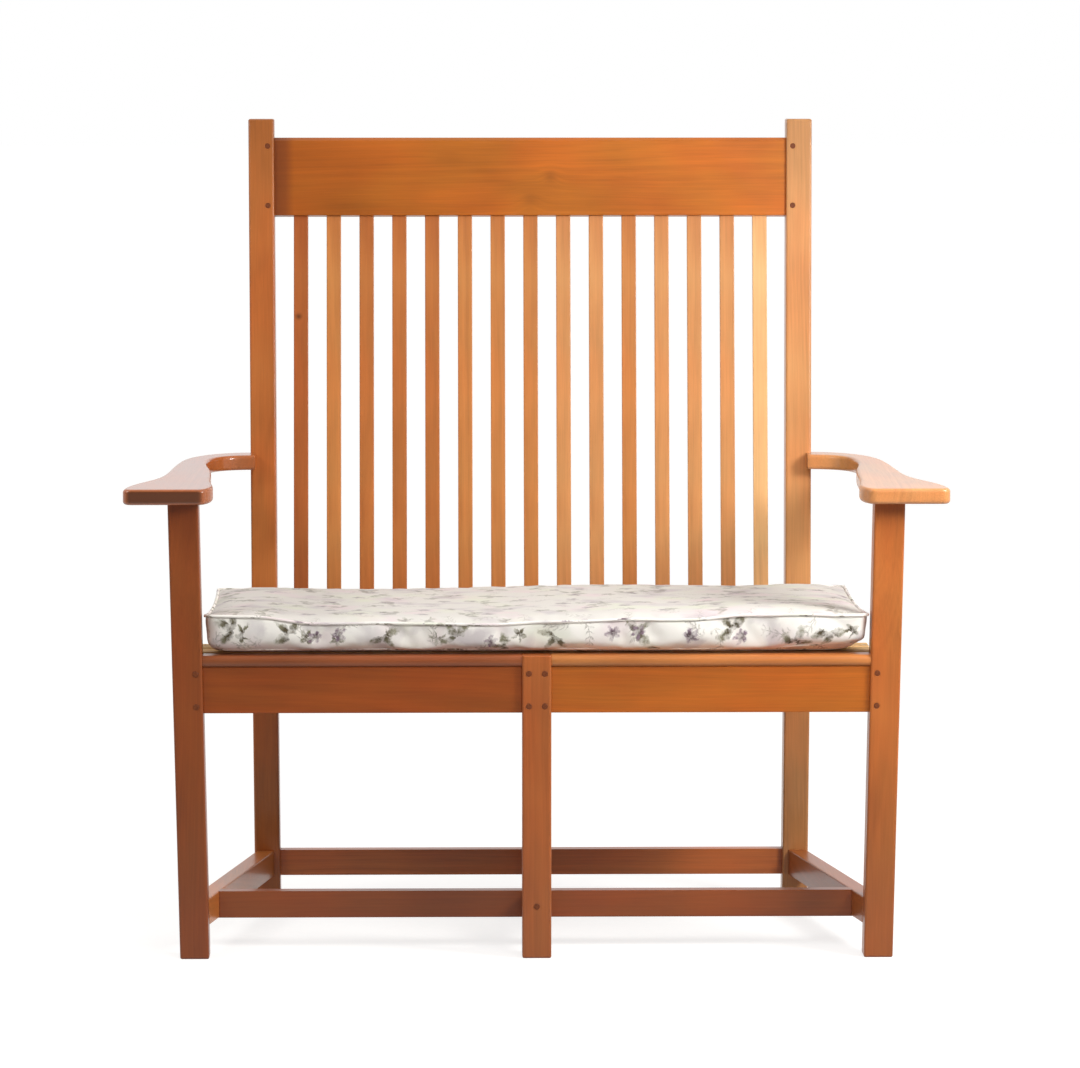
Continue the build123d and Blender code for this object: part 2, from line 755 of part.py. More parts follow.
with BuildPart() as stretcher_screw:
    screw(plug_place.offset(-plug_length), stretcher_screw_length)
finish(stretcher_screw, "stretcher_screw")


def peg(at, length):
    """A wooden peg driven into the plane at, its bevelled end a little proud."""
    with BuildPart() as pin:
        with Locations(at.offset(peg_proud)):
            Cylinder(peg_diameter / 2, length + peg_proud, align=(Align.CENTER, Align.CENTER, Align.MAX))
        ends = pin.faces().filter_by(GeomType.PLANE)
        shown = max(ends, key=lambda face: at.to_local_coords(face.center()).Z)
        chamfer(shown.edges(), peg_bevel)
    return pin.part


# Pegs, one group for each kind of joint
with BuildPart() as seat_rail_pegs:
    for place in both_sides(*leg_pegs(), *centre_leg_pegs()):
        add(peg(place, peg_length))
finish(seat_rail_pegs, "seat_rail_pegs")

with BuildPart() as crest_rail_pegs:
    for place in both_sides(*crest_pegs()):
        add(peg(place, peg_length))
finish(crest_rail_pegs, "crest_rail_pegs")

with BuildPart() as stretcher_plug:
    add(peg(plug_place, plug_length))
finish(stretcher_plug, "stretcher_plug")

# Cushion: a crowned box, its sides drawn in between the corners
cushion_base = deck_top + cushion_lift
cushion_middle_y = front + cushion_setback + cushion_depth / 2
seam_inset = welt_diameter / 2


def cushion_outline(plane, inset):
    """The cushion's plan: four gently hollow sides with round corners."""
    half_x = cushion_width / 2 - inset
    half_y = cushion_depth / 2 - inset
    with BuildSketch(plane) as plan:
        with BuildLine():
            corners = [(-half_x, -half_y), (half_x, -half_y), (half_x, half_y), (-half_x, half_y)]
            for start, end in zip(corners, corners[1:] + corners[:1]):
                SagittaArc(start, end, cushion_draw)
        make_face()
        fillet(plan.vertices(), cushion_corner)
    return plan


def cushion_block(inset, skin):
    """The cushion's body inside its seams by inset, skin thinner above and below."""
    low = cushion_base + skin
    seam = cushion_base + cushion_boxing - skin
    half_y = cushion_depth / 2
    with BuildPart() as block:
        for share in cushion_station_shares:
            crown = cushion_end_crown + (cushion_crown - cushion_end_crown) * cos(pi / 2 * share)
            with BuildSketch(Plane.YZ.offset(share * cushion_width / 2)):
                with BuildLine():
                    y_low, y_high = cushion_middle_y - half_y, cushion_middle_y + half_y
                    Line((y_low, seam), (y_low, low))
                    Line((y_low, low), (y_high, low))
                    Line((y_high, low), (y_high, seam))
                    ThreePointArc((y_high, seam), (cushion_middle_y, seam + crown), (y_low, seam))
                make_face()
        loft()
        plan = cushion_outline(Plane((0, cushion_middle_y, cushion_base)), inset)
        extrude(plan.sketch, amount=cushion_boxing + 2 * cushion_crown, mode=Mode.INTERSECT)
    return block.part


cushion_body = cushion_block(seam_inset, 0)
cushion_space = cushion_block(seam_inset + cover_thickness, cover_thickness)

with BuildPart() as cushion_cover:
    add(cushion_body)
    for level in (cushion_base + seam_inset, cushion_base + cushion_boxing):
        seam_plan = cushion_outline(Plane((0, cushion_middle_y, level)), seam_inset)
        seam_line = seam_plan.sketch.face().outer_wire()
        with BuildSketch(Plane(origin=seam_line @ 0, z_dir=seam_line % 0)) as welt_section:
            Circle(welt_diameter / 2)
        sweep(welt_section.sketch, path=seam_line)
    add(cushion_space, mode=Mode.SUBTRACT)
finish(cushion_cover, "cushion_cover")

with BuildPart() as cushion_core:
    add(cushion_block(seam_inset + cover_thickness + core_gap, cover_thickness + core_gap))
finish(cushion_core, "cushion_core")
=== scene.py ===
"""Looks of a high-back slatted settle: stained boards with their own grain, raw deck, printed box cushion."""

import math

import bpy
import numpy as np
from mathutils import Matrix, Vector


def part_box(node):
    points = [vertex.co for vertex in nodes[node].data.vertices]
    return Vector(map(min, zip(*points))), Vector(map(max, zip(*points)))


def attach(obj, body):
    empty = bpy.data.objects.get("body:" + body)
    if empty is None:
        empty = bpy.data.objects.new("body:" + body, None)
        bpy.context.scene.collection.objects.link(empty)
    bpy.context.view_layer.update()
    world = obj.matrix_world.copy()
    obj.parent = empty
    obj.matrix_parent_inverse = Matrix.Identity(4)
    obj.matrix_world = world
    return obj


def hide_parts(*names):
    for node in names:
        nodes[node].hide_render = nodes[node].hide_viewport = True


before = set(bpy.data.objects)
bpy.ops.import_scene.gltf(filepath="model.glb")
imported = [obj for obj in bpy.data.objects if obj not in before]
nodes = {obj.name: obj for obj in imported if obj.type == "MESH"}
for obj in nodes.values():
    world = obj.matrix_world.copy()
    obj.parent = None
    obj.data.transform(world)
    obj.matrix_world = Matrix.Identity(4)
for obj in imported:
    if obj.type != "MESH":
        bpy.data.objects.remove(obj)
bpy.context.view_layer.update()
scene = bpy.context.scene
MM = 0.001


# Small helpers


def linear(code):
    """The linear colour of an sRGB hex value, as four numbers."""
    shares = [int(code[i : i + 2], 16) / 255 for i in (1, 3, 5)]
    return (*(c / 12.92 if c <= 0.04045 else ((c + 0.055) / 1.055) ** 2.4 for c in shares), 1)


def shade(code, share):
    """The same colour, share times as bright."""
    return (*(c * share for c in linear(code)[:3]), 1)


def add(tree, kind, inputs=(), stops=(), **settings):
    """Adds a shader node. inputs, in order or by name, are values or the nodes and sockets feeding them."""
    node = tree.nodes.new("ShaderNode" + kind)
    for name, value in settings.items():
        setattr(node, name, value)
    for place, value in inputs.items() if isinstance(inputs, dict) else enumerate(inputs):
        if isinstance(value, bpy.types.Node):
            value = value.outputs[0]
        if isinstance(value, bpy.types.NodeSocket):
            tree.links.new(value, node.inputs[place])
        else:
            node.inputs[place].default_value = value
    for number, (place, colour) in enumerate(stops):
        if number > 1:
            node.color_ramp.elements.new(place)
        node.color_ramp.elements[number].position = place
        node.color_ramp.elements[number].color = colour
    return node


def new_material(name):
    """An empty node material and its tree."""
    material = bpy.data.materials.new(name)
    material.use_nodes = True
    material.node_tree.nodes.clear()
    return material, material.node_tree


def dress(piece, material):
    """Gives a piece one material in place of those it has."""
    piece.data.materials.clear()
    piece.data.materials.append(material)


# Camera: far off, a little above the back's top, turned one degree

SENSOR_WIDTH = 36
CAMERA_PLACE = (-0.125, -7.71, 1.281)
CAMERA_TILT = 84.75
CAMERA_TURN = -1.0
CAMERA_LENS = 177.67

camera_data = bpy.data.cameras.new("camera")
camera_data.sensor_width = SENSOR_WIDTH
camera_data.lens = CAMERA_LENS
camera = bpy.data.objects.new("camera", camera_data)
camera.location = CAMERA_PLACE
camera.rotation_euler = (math.radians(CAMERA_TILT), 0, math.radians(CAMERA_TURN))
scene.collection.objects.link(camera)
scene.camera = camera
scene.view_settings.view_transform = "Standard"


# Studio: a near lamp at the right, a broad one in front, a weak one at the left, a pale floor and a room
# that is brighter overhead

WHITE = (1, 1, 1, 1)
WALL_LEVEL = 0.18
CEILING_LEVEL = 1.05
CEILING_FROM = 0.3  # sine of the height at which the walls start to brighten
DARK_SIDE = 0.2  # what glossy finishes see of the room in front; behind is the white backdrop
DARK_UP_TO, WHITE_FROM = -0.5, 0.2  # between them, from front to back, the room turns white
FLOOR_PAPER = "#A8A6A3"
FLOOR_GLOW = 0.76
FLOOR_HALF = 60
FLOOR_DROP = 0.2 * MM
FLOOR_DARK_UP_TO, FLOOR_WHITE_FROM = -2.0, -0.3


def lamp(name, place, aim, size, power):
    """A square soft lamp at place that faces aim. Gives its object."""
    data = bpy.data.lights.new(name, "AREA")
    data.size = size
    data.energy = power
    lamp_object = bpy.data.objects.new(name, data)
    lamp_object.location = place
    x, y, z = np.array(aim) - np.array(place)
    lamp_object.rotation_euler = (math.atan2(math.hypot(x, y), -z), 0, math.atan2(-x, y))
    scene.collection.objects.link(lamp_object)
    return lamp_object


lamp("key_lamp", (1.25, -0.9, 1.25), (0, 0, 0.7), 0.5, 21)
front_lamp = lamp("front_lamp", (0.5, -2.2, 2.0), (0, 0, 0.5), 1.2, 20)
front_lamp.visible_glossy = False  # only fills, so that it lays no haze on the lacquer
lamp("left_lamp", (-1.6, -0.75, 1.7), (0, 0.2, 0.9), 0.5, 8)


def light_room():
    """The world: walls and a brighter ceiling for matt finishes, a dark front and a white back for gloss,
    and plain white for the camera and through glass."""
    world = bpy.data.worlds.new("room")
    world.use_nodes = True
    scene.world = world
    room = world.node_tree
    room.nodes.clear()
    ray = add(room, "LightPath").outputs
    way = add(room, "SeparateXYZ", [add(room, "TexCoord").outputs["Generated"]]).outputs
    levels = [way[2], CEILING_FROM, 1.0, WALL_LEVEL, CEILING_LEVEL]
    matt_level = add(room, "MapRange", levels, interpolation_type="SMOOTHSTEP")
    gloss_level = add(room, "MapRange", [way[1], DARK_UP_TO, WHITE_FROM, DARK_SIDE, 1.0])
    level = add(room, "Mix", {0: ray["Is Glossy Ray"], 2: matt_level, 3: gloss_level})
    room_light = add(room, "Background", {"Color": WHITE, "Strength": level})
    room_shown = add(room, "Background", {"Color": WHITE, "Strength": 1})
    shown = add(room, "Math", [ray["Is Camera Ray"], ray["Is Transmission Ray"]], operation="MAXIMUM")
    add(room, "OutputWorld", [add(room, "MixShader", [shown, room_light, room_shown])])


def studio_paper():
    """Matt pale paper: lit by the lamps, so that it takes the settle's shadow, with a glow of its own for
    the camera and in reflections that brings it to white where nothing shades it."""
    material, tree = new_material("matt_studio_paper")
    ray = add(tree, "LightPath").outputs
    seen = add(tree, "Math", [ray["Is Camera Ray"], ray["Is Glossy Ray"]], operation="MAXIMUM")
    seen = add(tree, "Math", [seen, ray["Is Transmission Ray"]], operation="MAXIMUM")
    place = add(tree, "SeparateXYZ", [add(tree, "TexCoord").outputs["Object"]]).outputs
    behind = add(tree, "MapRange", [place[1], FLOOR_DARK_UP_TO, FLOOR_WHITE_FROM, DARK_SIDE, 1.0])
    behind = add(tree, "Mix", {0: ray["Is Glossy Ray"], 2: 1.0, 3: behind})
    glow = add(tree, "Math", [seen, FLOOR_GLOW], operation="MULTIPLY")
    glow = add(tree, "Math", [glow, behind], operation="MULTIPLY")
    lit = add(tree, "BsdfDiffuse", {"Color": linear(FLOOR_PAPER)})
    white = add(tree, "Emission", {"Color": WHITE, "Strength": glow})
    add(tree, "OutputMaterial", [add(tree, "AddShader", [lit, white])])
    return material


light_room()
floor_mesh = bpy.data.meshes.new("floor")
corners = [(x * FLOOR_HALF, y * FLOOR_HALF, -FLOOR_DROP) for x, y in ((-1, -1), (1, -1), (1, 1), (-1, 1))]
floor_mesh.from_pydata(corners, [], [(0, 1, 2, 3)])
floor = bpy.data.objects.new("floor", floor_mesh)
scene.collection.objects.link(floor)
dress(floor, studio_paper())


# Wood

LEAN_START = 0.43
LEAN = 0.105 / 0.7395  # how far the back goes back for each metre up
# Turns that lay a board's length along the pattern's X
ALONG = {"x": (0, 0, 0), "y": (0, 0, -math.pi / 2), "z": (0, math.pi / 2, 0)}

# Grain
HEART_NEAR = 45 * MM
HEART_FAR = 110 * MM
HEART_TILT = 0.03
HEART_SWAY = 30 * MM
SWAY_RATE = (1.6, 7, 7)  # per metre, along the board and across
RING_WIDTH = 5.5 * MM
FIBRE_WIDTH = 2.2 * MM  # real pores are a tenth of this, too fine to show
FIBRE_LENGTH = 80 * MM
BLOTCH_SIZE = 90 * MM
BLOTCH_ALONG, BLOTCH_ACROSS = 0.55, 1.3  # blotches are drawn out along the board
KNOT_PUSH = 0.3  # how soon the rings close again round a knot, and how soon its colour ends
KNOT_FADE = 1.1

# Stain: how much each pattern moves its depth, and how bright the tone is at each depth
RING_SHARE = 0.24
FIBRE_SHARE = 0.3
BLOTCH_SHARE = 0.6
DEPTH_CONTRAST = 1.7
STAIN_STEPS = ((0, 0.6), (0.35, 0.87), (0.6, 1.05), (1, 1.3))
REDDER = (1.04, 0.95, 0.9, 1)
YELLOWER = (0.97, 1.03, 1.06, 1)
DYES_PART = (0.38, 0.62)
# The colour of painted shade and painted cast shadows
PAINTED_SHADE_COLOUR = "#6E3414"
KNOT_LEVEL = 0.25  # brightness of a knot, of end grain (painted shade on the left arm's front end) and of a rubbed edge (paler partly as a painted highlight), as a share of the tone
END_LEVEL = 0.28
RUBBED_AND_HIGHLIT_LEVEL = 1.6
END_FROM, END_FULL = 0.8, 0.98  # how squarely a face cuts the grain
HANDLED_TO, SOUND_FROM = -0.28, -0.1  # depths between which rubbed end grain turns sound
SOUND_SHARE = 0.15  # of the stain that rubbed end grain drank
USUAL_THIRST = 0.14

# Edges and finish
EDGE_ROUND = 2.4 * MM
# How far the rounded normal leaves the flat one where an edge starts and ends paling, and the most it pales:
# partly rubbed wear, partly a painted highlight
EDGE_FLAT, EDGE_FULL, EDGE_RUB_AND_HIGHLIGHT = 0.985, 0.8, 0.5
RUB_BY_FIBRE, RUB_LEAST = 1.4, 0.1
GRAIN_RELIEF = 0.4 * MM
GLOSS_WANDER = 0.14
WOOD_IOR = 1.5
WOOD_SPECULAR = 0.35
USUAL_COAT = 0.2
COAT_ROUGHNESS = 0.14
# Strength of the grain's relief, and roughness
LACQUERED = (0.1, 0.3)
BARE = (0.3, 0.62)
RAW_DYES = 0.3  # how much the red and yellow patches show on raw wood


def growth(tree, place, laid, heart, knots):
    """Distance from the heart line, the swayed pattern place and how dark each knot is there.

    The heart line runs beside the board, tilted, and wanders by up to half of HEART_SWAY. Each knot adds
    its radius times e^(-KNOT_PUSH d²) to the distance, d being the way from it over its radius.
    """
    slow = add(tree, "VectorMath", [laid, SWAY_RATE], operation="MULTIPLY")
    wander = {"Vector": slow, "Scale": 1, "Detail": 2, "Roughness": 0.45}
    wander = add(tree, "TexNoise", wander).outputs["Color"]
    sway = add(tree, "VectorMath", [wander, (0.5, 0.5, 0.5)], operation="SUBTRACT")
    sway = add(tree, "VectorMath", {0: sway, "Scale": HEART_SWAY}, operation="SCALE")
    swayed = add(tree, "VectorMath", [laid, sway], operation="ADD")
    part = add(tree, "SeparateXYZ", [swayed]).outputs
    off_y = add(tree, "Math", [part[0], heart[2], part[1]], operation="MULTIPLY_ADD")
    off_y = add(tree, "Math", [off_y, heart[0]], operation="SUBTRACT")
    off_z = add(tree, "Math", [part[2], heart[1]], operation="SUBTRACT")
    off = add(tree, "CombineXYZ", [0.0, off_y, off_z])
    radius = add(tree, "VectorMath", [off], operation="LENGTH").outputs["Value"]
    cores = []
    for knot_place, knot_radius, knot_dark in knots:
        distance = add(tree, "VectorMath", [place, knot_place], operation="DISTANCE").outputs["Value"]
        distance = add(tree, "Math", [distance, knot_radius], operation="DIVIDE")
        squared = add(tree, "Math", [distance, distance], operation="MULTIPLY")
        push = add(tree, "Math", [math.exp(-KNOT_PUSH), squared], operation="POWER")
        radius = add(tree, "Math", [push, knot_radius, radius], operation="MULTIPLY_ADD")
        core = add(tree, "Math", [math.exp(-KNOT_FADE), squared], operation="POWER")
        cores.append(add(tree, "Math", [core, knot_dark], operation="MULTIPLY"))
    return radius, swayed, cores


def board_wood(
    name,
    tone,
    grain,
    heart,
    middle,
    knots=(),
    thirst_and_end_shade=USUAL_THIRST,
    coat=USUAL_COAT,
    painted_shade=None,
    raw=False,
):
    """Sawn alder under a wiped stain and a satin lacquer, or raw pine where raw.

    Growth rings are shells round a wandering heart line beside the board, cut by its faces, so that the
    grain runs on round every edge and follows the lean of the back. The stain lies darker in the late wood,
    in blotches, in knots and on end grain as much as it drinks; on the left arm's front end that darkness
    is painted shade, and on the right arm's it is left out as painted light. It is rubbed thin along the
    edges, which are paler partly as a painted highlight. Its red and yellow dyes parted in soft patches.
    The painted-shade argument is an axis and the shares, at places along it, of a darker colour painted
    where shade and cast shadows fall.
    The lacquer gives a soft broad gloss.
    """
    material, tree = new_material(name)
    place = add(tree, "TexCoord").outputs["Object"]
    part = add(tree, "SeparateXYZ", [place]).outputs
    risen = add(tree, "Math", [part[2], LEAN_START], operation="SUBTRACT")
    risen = add(tree, "Math", [risen, 0.0], operation="MAXIMUM")
    upright = add(tree, "Math", [risen, -LEAN, part[1]], operation="MULTIPLY_ADD")
    straight = add(tree, "CombineXYZ", [part[0], upright, part[2]])
    laid = add(tree, "Mapping", {"Vector": straight, "Rotation": ALONG[grain], "Location": middle})
    radius, swayed, cores = growth(tree, place, laid, heart, knots)

    count = add(tree, "Math", [radius, RING_WIDTH], operation="DIVIDE")
    rings = {"W": count, "Scale": 1, "Detail": 2.5, "Roughness": 0.6}
    rings = add(tree, "TexNoise", rings, noise_dimensions="1D")
    fine = (1 / FIBRE_LENGTH, 1 / FIBRE_WIDTH, 1 / FIBRE_WIDTH)
    fibre_place = add(tree, "VectorMath", [swayed, fine], operation="MULTIPLY")
    fibres = add(tree, "TexNoise", {"Vector": fibre_place, "Scale": 1, "Detail": 3, "Roughness": 0.6})
    broad = (BLOTCH_ALONG / BLOTCH_SIZE, BLOTCH_ACROSS / BLOTCH_SIZE, BLOTCH_ACROSS / BLOTCH_SIZE)
    blotch_place = add(tree, "VectorMath", [laid, broad], operation="MULTIPLY")
    blotches = add(tree, "TexNoise", {"Vector": blotch_place, "Scale": 1, "Detail": 2})
    patches = add(tree, "SeparateColor", [blotches.outputs["Color"]]).outputs[1]

    # Stain depth about the tone. Each of the three patterns is a half on average
    usual = (RING_SHARE + FIBRE_SHARE + BLOTCH_SHARE) / 2
    depth = add(tree, "Math", [rings, RING_SHARE, -usual], operation="MULTIPLY_ADD")
    depth = add(tree, "Math", [fibres, FIBRE_SHARE, depth], operation="MULTIPLY_ADD")
    depth = add(tree, "Math", [blotches, BLOTCH_SHARE, depth], operation="MULTIPLY_ADD")
    depth = add(tree, "Math", [depth, DEPTH_CONTRAST, 0.5], operation="MULTIPLY_ADD", use_clamp=True)
    colour = add(tree, "ValToRGB", [depth], stops=[(at, shade(tone, level)) for at, level in STAIN_STEPS])
    dyes = add(tree, "ValToRGB", [patches], stops=list(zip(DYES_PART, (REDDER, YELLOWER))))
    dyes = {0: RAW_DYES if raw else 1.0, 6: colour, 7: dyes}
    colour = add(tree, "Mix", dyes, data_type="RGBA", blend_type="MULTIPLY").outputs[2]
    # Painted shade: where shade or a cast shadow falls, the colour turns by a share towards a darker one
    if painted_shade:
        axis, shares = painted_shade
        start, end = shares[0][0], shares[-1][0]
        along = add(tree, "MapRange", [part[axis], start, end])
        stops = [((at - start) / (end - start), (share, share, share, 1)) for at, share in shares]
        painted_dark = {0: add(tree, "ValToRGB", [along], stops=stops), 6: colour, 7: linear(PAINTED_SHADE_COLOUR)}
        colour = add(tree, "Mix", painted_dark, data_type="RGBA").outputs[2]
    for core in cores:
        darker = {0: core, 6: colour, 7: shade(tone, KNOT_LEVEL)}
        colour = add(tree, "Mix", darker, data_type="RGBA").outputs[2]

    # End grain drinks the stain, most at the front, where hands have rubbed through the lacquer. On the left
    # arm's front end this darkness is painted shade; the right arm's end goes without it, as painted light
    side = add(tree, "TexCoord").outputs["Normal"]
    side = add(tree, "Mapping", {"Vector": side, "Rotation": ALONG[grain]}, vector_type="NORMAL")
    cut = add(tree, "Math", [add(tree, "SeparateXYZ", [side])], operation="ABSOLUTE")
    cut = add(tree, "MapRange", [cut, END_FROM, END_FULL, 0.0, thirst_and_end_shade])
    handled = add(tree, "MapRange", [part[1], HANDLED_TO, SOUND_FROM, 1.0, SOUND_SHARE])
    cut = add(tree, "Math", [cut, handled], operation="MULTIPLY")
    darker = {0: cut, 6: colour, 7: shade(tone, END_LEVEL)}
    colour = add(tree, "Mix", darker, data_type="RGBA").outputs[2]

    # Rubbed edges, where the rounded normal leaves the flat one: paler partly as real wear and partly as a
    # painted highlight of the edges catching the light
    soft = add(tree, "Bevel", {"Radius": EDGE_ROUND}, samples=4)
    hard = add(tree, "NewGeometry").outputs["Normal"]
    meet = add(tree, "VectorMath", [soft, hard], operation="DOT_PRODUCT").outputs["Value"]
    rubbed_and_highlit = add(tree, "MapRange", [meet, EDGE_FLAT, EDGE_FULL, 0.0, EDGE_RUB_AND_HIGHLIGHT])
    patchy = [fibres, RUB_BY_FIBRE, RUB_LEAST]
    patchy = add(tree, "Math", patchy, operation="MULTIPLY_ADD", use_clamp=True)
    rubbed_and_highlit = add(tree, "Math", [rubbed_and_highlit, patchy], operation="MULTIPLY")
    paler = {0: rubbed_and_highlit, 6: colour, 7: shade(tone, RUBBED_AND_HIGHLIT_LEVEL)}
    colour = add(tree, "Mix", paler, data_type="RGBA").outputs[2]

    relief = add(tree, "Math", [rings, 0.5, fibres], operation="MULTIPLY_ADD")
    strength, roughness = BARE if raw else LACQUERED
    grain_bump = {"Height": relief, "Strength": strength, "Distance": GRAIN_RELIEF, "Normal": soft}
    rough = add(tree, "Math", [blotches, GLOSS_WANDER, roughness], operation="MULTIPLY_ADD")
    finish = {
        "Base Color": colour,
        "Roughness": rough,
        "IOR": WOOD_IOR,
        "Normal": add(tree, "Bump", grain_bump),
        "Specular IOR Level": WOOD_SPECULAR,
    }
    if not raw:
        finish |= {"Coat Weight": coat, "Coat Roughness": COAT_ROUGHNESS}
    add(tree, "OutputMaterial", [add(tree, "BsdfPrincipled", finish)])
    return material


# Stains on the boards, from the darkest to the palest; which board takes which is partly painted light and
# shade, as said below
STAINS = {
    "umber": "#8B4519",
    "chestnut": "#954711",
    "walnut": "#8F4C27",
    "russet": "#A75A28",
    "auburn": "#B1632B",
    "cinnamon": "#B35F18",
    "saffron": "#BA6410",
    "copper": "#B56A32",
    "apricot": "#BD743A",
    "amber": "#C0793E",
    "sorrel": "#C26B32",
    "honey": "#C98850",
    "straw": "#E0AA70",
}
RAW_PINE = "#D9B27C"
PEG_STAIN = "#7C4020"

SLAT_STAINS = (
    "russet amber copper copper copper amber amber amber honey honey amber honey honey honey straw".split()
)
# Each board's stain and the axis that its grain runs along. The stains are partly the boards' own tones and
# partly painted light and shade: most boards on the left, where less light falls, are stained darker than
# their fellows on the right, and the back stretcher is stained paler against the shade of the seat.
BOARDS = {
    "arm_left": ("russet", "y"),
    "arm_right": ("honey", "y"),
    "back_post_left": ("auburn", "z"),
    "back_post_right": ("honey", "z"),
    "back_seat_rail": ("cinnamon", "x"),
    "back_stretcher": ("sorrel", "x"),
    "centre_leg": ("russet", "z"),
    "centre_stretcher": ("russet", "y"),
    "crest_rail": ("saffron", "x"),
    "front_leg_left": ("umber", "z"),
    "front_leg_right": ("auburn", "z"),
    "front_seat_rail_left": ("chestnut", "x"),
    "front_seat_rail_right": ("cinnamon", "x"),
    "front_stretcher": ("umber", "x"),
    "seat_edge_strip_left": ("walnut", "x"),
    "seat_edge_strip_right": ("apricot", "x"),
    "side_seat_rail_left": ("russet", "y"),
    "side_seat_rail_right": ("russet", "y"),
    "side_stretcher_left": ("copper", "y"),
    "side_stretcher_right": ("russet", "y"),
}
BOARDS.update({f"back_slat_{i + 1:02d}": (stain, "z") for i, stain in enumerate(SLAT_STAINS)})
# Knots on the boards' front faces: place, radius and how dark
KNOTS = {
    "crest_rail": [((0.03, 0.277, 1.084), 9 * MM, 0.35), ((0.0, 0.272, 1.05), 11 * MM, 0.25)],
    "back_slat_01": [((-0.3465, 0.2534, 0.876), 4.5 * MM, 0.85)],
}
# Boards whose end grain is painted darker or lighter than usual, as painted shade on the left arm's front
# end and painted light on the right arm's, and boards whose lacquer is heavier or thinner than the others'
PAINTED_END_SHADE_AND_LIGHT = {"arm_left": 0.95, "arm_right": 0.0}
COATS = {"arm_left": 0.75, "arm_right": 0.6, "crest_rail": 0.1}
# Painted shade and painted cast shadows: an axis, and the share of a darker colour at places along it.
# On the crest, the left post's painted shadow across its left end, fading towards the middle; on the front
# stretcher, the centre leg's painted shadow; on the right post and the right leg, painted shade, darker
# towards the bottom.
PAINTED_SHADE_RAMPS = {
    "crest_rail": (0, ((-0.381, 0.85), (-0.366, 0.75), (-0.353, 0.34), (0.02, 0.0))),
    "back_post_right": (2, ((0.0, 0.14), (0.35, 0.12), (0.46, 0.0))),
    "front_leg_right": (2, ((0.0, 0.3), (0.2, 0.14), (0.35, 0.0))),
    "front_stretcher": (0, ((-0.27, 0.0), (-0.19, 0.3), (-0.04, 0.35), (0.0, 0.0))),
}
DECK_BOARDS = 7
DECK_HEART_ASIDE = 0.05
DECK_HEART_TILT = 0.02
DECK_BOARD_STEP = 0.3  # moves each deck board's pattern on, so that no two look alike
BEARER_HEART = (0.04, HEART_NEAR, 0)

chance = np.random.default_rng(11)
for name, (stain, grain) in BOARDS.items():
    low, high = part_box(name)
    middle = [-(a + b) / 2 for a, b in zip(low, high)]
    if grain == "y":
        middle = [middle[1], -middle[0], middle[2]]
    if grain == "z":
        middle = [middle[2], middle[1], -middle[0]]
    turn = chance.uniform(0, 2 * math.pi)
    away = chance.uniform(HEART_NEAR, HEART_FAR)
    tilt = chance.uniform(-HEART_TILT, HEART_TILT)
    heart = (away * math.cos(turn), away * math.sin(turn), tilt)
    own = {
        "knots": KNOTS.get(name, ()),
        "thirst_and_end_shade": PAINTED_END_SHADE_AND_LIGHT.get(name, USUAL_THIRST),
        "coat": COATS.get(name, USUAL_COAT),
        "painted_shade": PAINTED_SHADE_RAMPS.get(name),
    }
    dress(nodes[name], board_wood(f"stained_alder_{name}", STAINS[stain], grain, heart, middle, **own))

for number in range(DECK_BOARDS):
    name = f"deck_board_{number + 1}"
    heart = (chance.uniform(-DECK_HEART_ASIDE, DECK_HEART_ASIDE), -HEART_NEAR, DECK_HEART_TILT)
    middle = (0, DECK_BOARD_STEP * number, 0)
    dress(nodes[name], board_wood(f"raw_pine_{name}", RAW_PINE, "x", heart, middle, raw=True))
bearer_wood = board_wood("raw_pine_bearer", RAW_PINE, "y", BEARER_HEART, (0, 0, 0), raw=True)
dress(nodes["centre_bearer"], bearer_wood)


# Pegs and screws

PORES_RATE = 900  # about a pore to a millimetre, coarser than real, so that they show
CLOUDS_RATE = 600
PORE_DEPTH = 0.3 * MM
ZINC_DULL, ZINC_BRIGHT = "#9C9E9F", "#C2C4C4"


def peg_wood():
    """Round hardwood pegs, their cut ends dark with stain and finely speckled by pores."""
    material, tree = new_material("stained_peg_end_grain")
    place = add(tree, "TexCoord").outputs["Object"]
    pores = add(tree, "TexNoise", {"Vector": place, "Scale": PORES_RATE, "Detail": 3})
    stops = [(0.3, shade(PEG_STAIN, 0.5)), (0.7, shade(PEG_STAIN, 1.2))]
    finish = {
        "Base Color": add(tree, "ValToRGB", [pores], stops=stops),
        "Roughness": 0.45,
        "IOR": WOOD_IOR,
        "Normal": add(tree, "Bump", {"Height": pores, "Strength": 0.25, "Distance": PORE_DEPTH}),
        "Specular IOR Level": 0.3,
    }
    add(tree, "OutputMaterial", [add(tree, "BsdfPrincipled", finish)])
    return material


def screw_steel():
    """Zinc-plated steel screws, scuffed by the driver: a cool, dull, cloudy gloss."""
    material, tree = new_material("zinc_plated_steel")
    place = add(tree, "TexCoord").outputs["Object"]
    cloud = add(tree, "TexNoise", {"Vector": place, "Scale": CLOUDS_RATE, "Detail": 2})
    rough = add(tree, "Math", [cloud, 0.2, 0.28], operation="MULTIPLY_ADD")
    colour = add(tree, "ValToRGB", [cloud], stops=[(0.3, linear(ZINC_DULL)), (0.7, linear(ZINC_BRIGHT))])
    finish = {"Base Color": colour, "Metallic": 1.0, "Roughness": rough}
    add(tree, "OutputMaterial", [add(tree, "BsdfPrincipled", finish)])
    return material


peg_finish = peg_wood()
for name in ("seat_rail_pegs", "crest_rail_pegs", "stretcher_plug"):
    dress(nodes[name], peg_finish)
steel_finish = screw_steel()
for name in ("deck_screws", "stretcher_screw"):
    dress(nodes[name], steel_finish)


# Cushion cloth

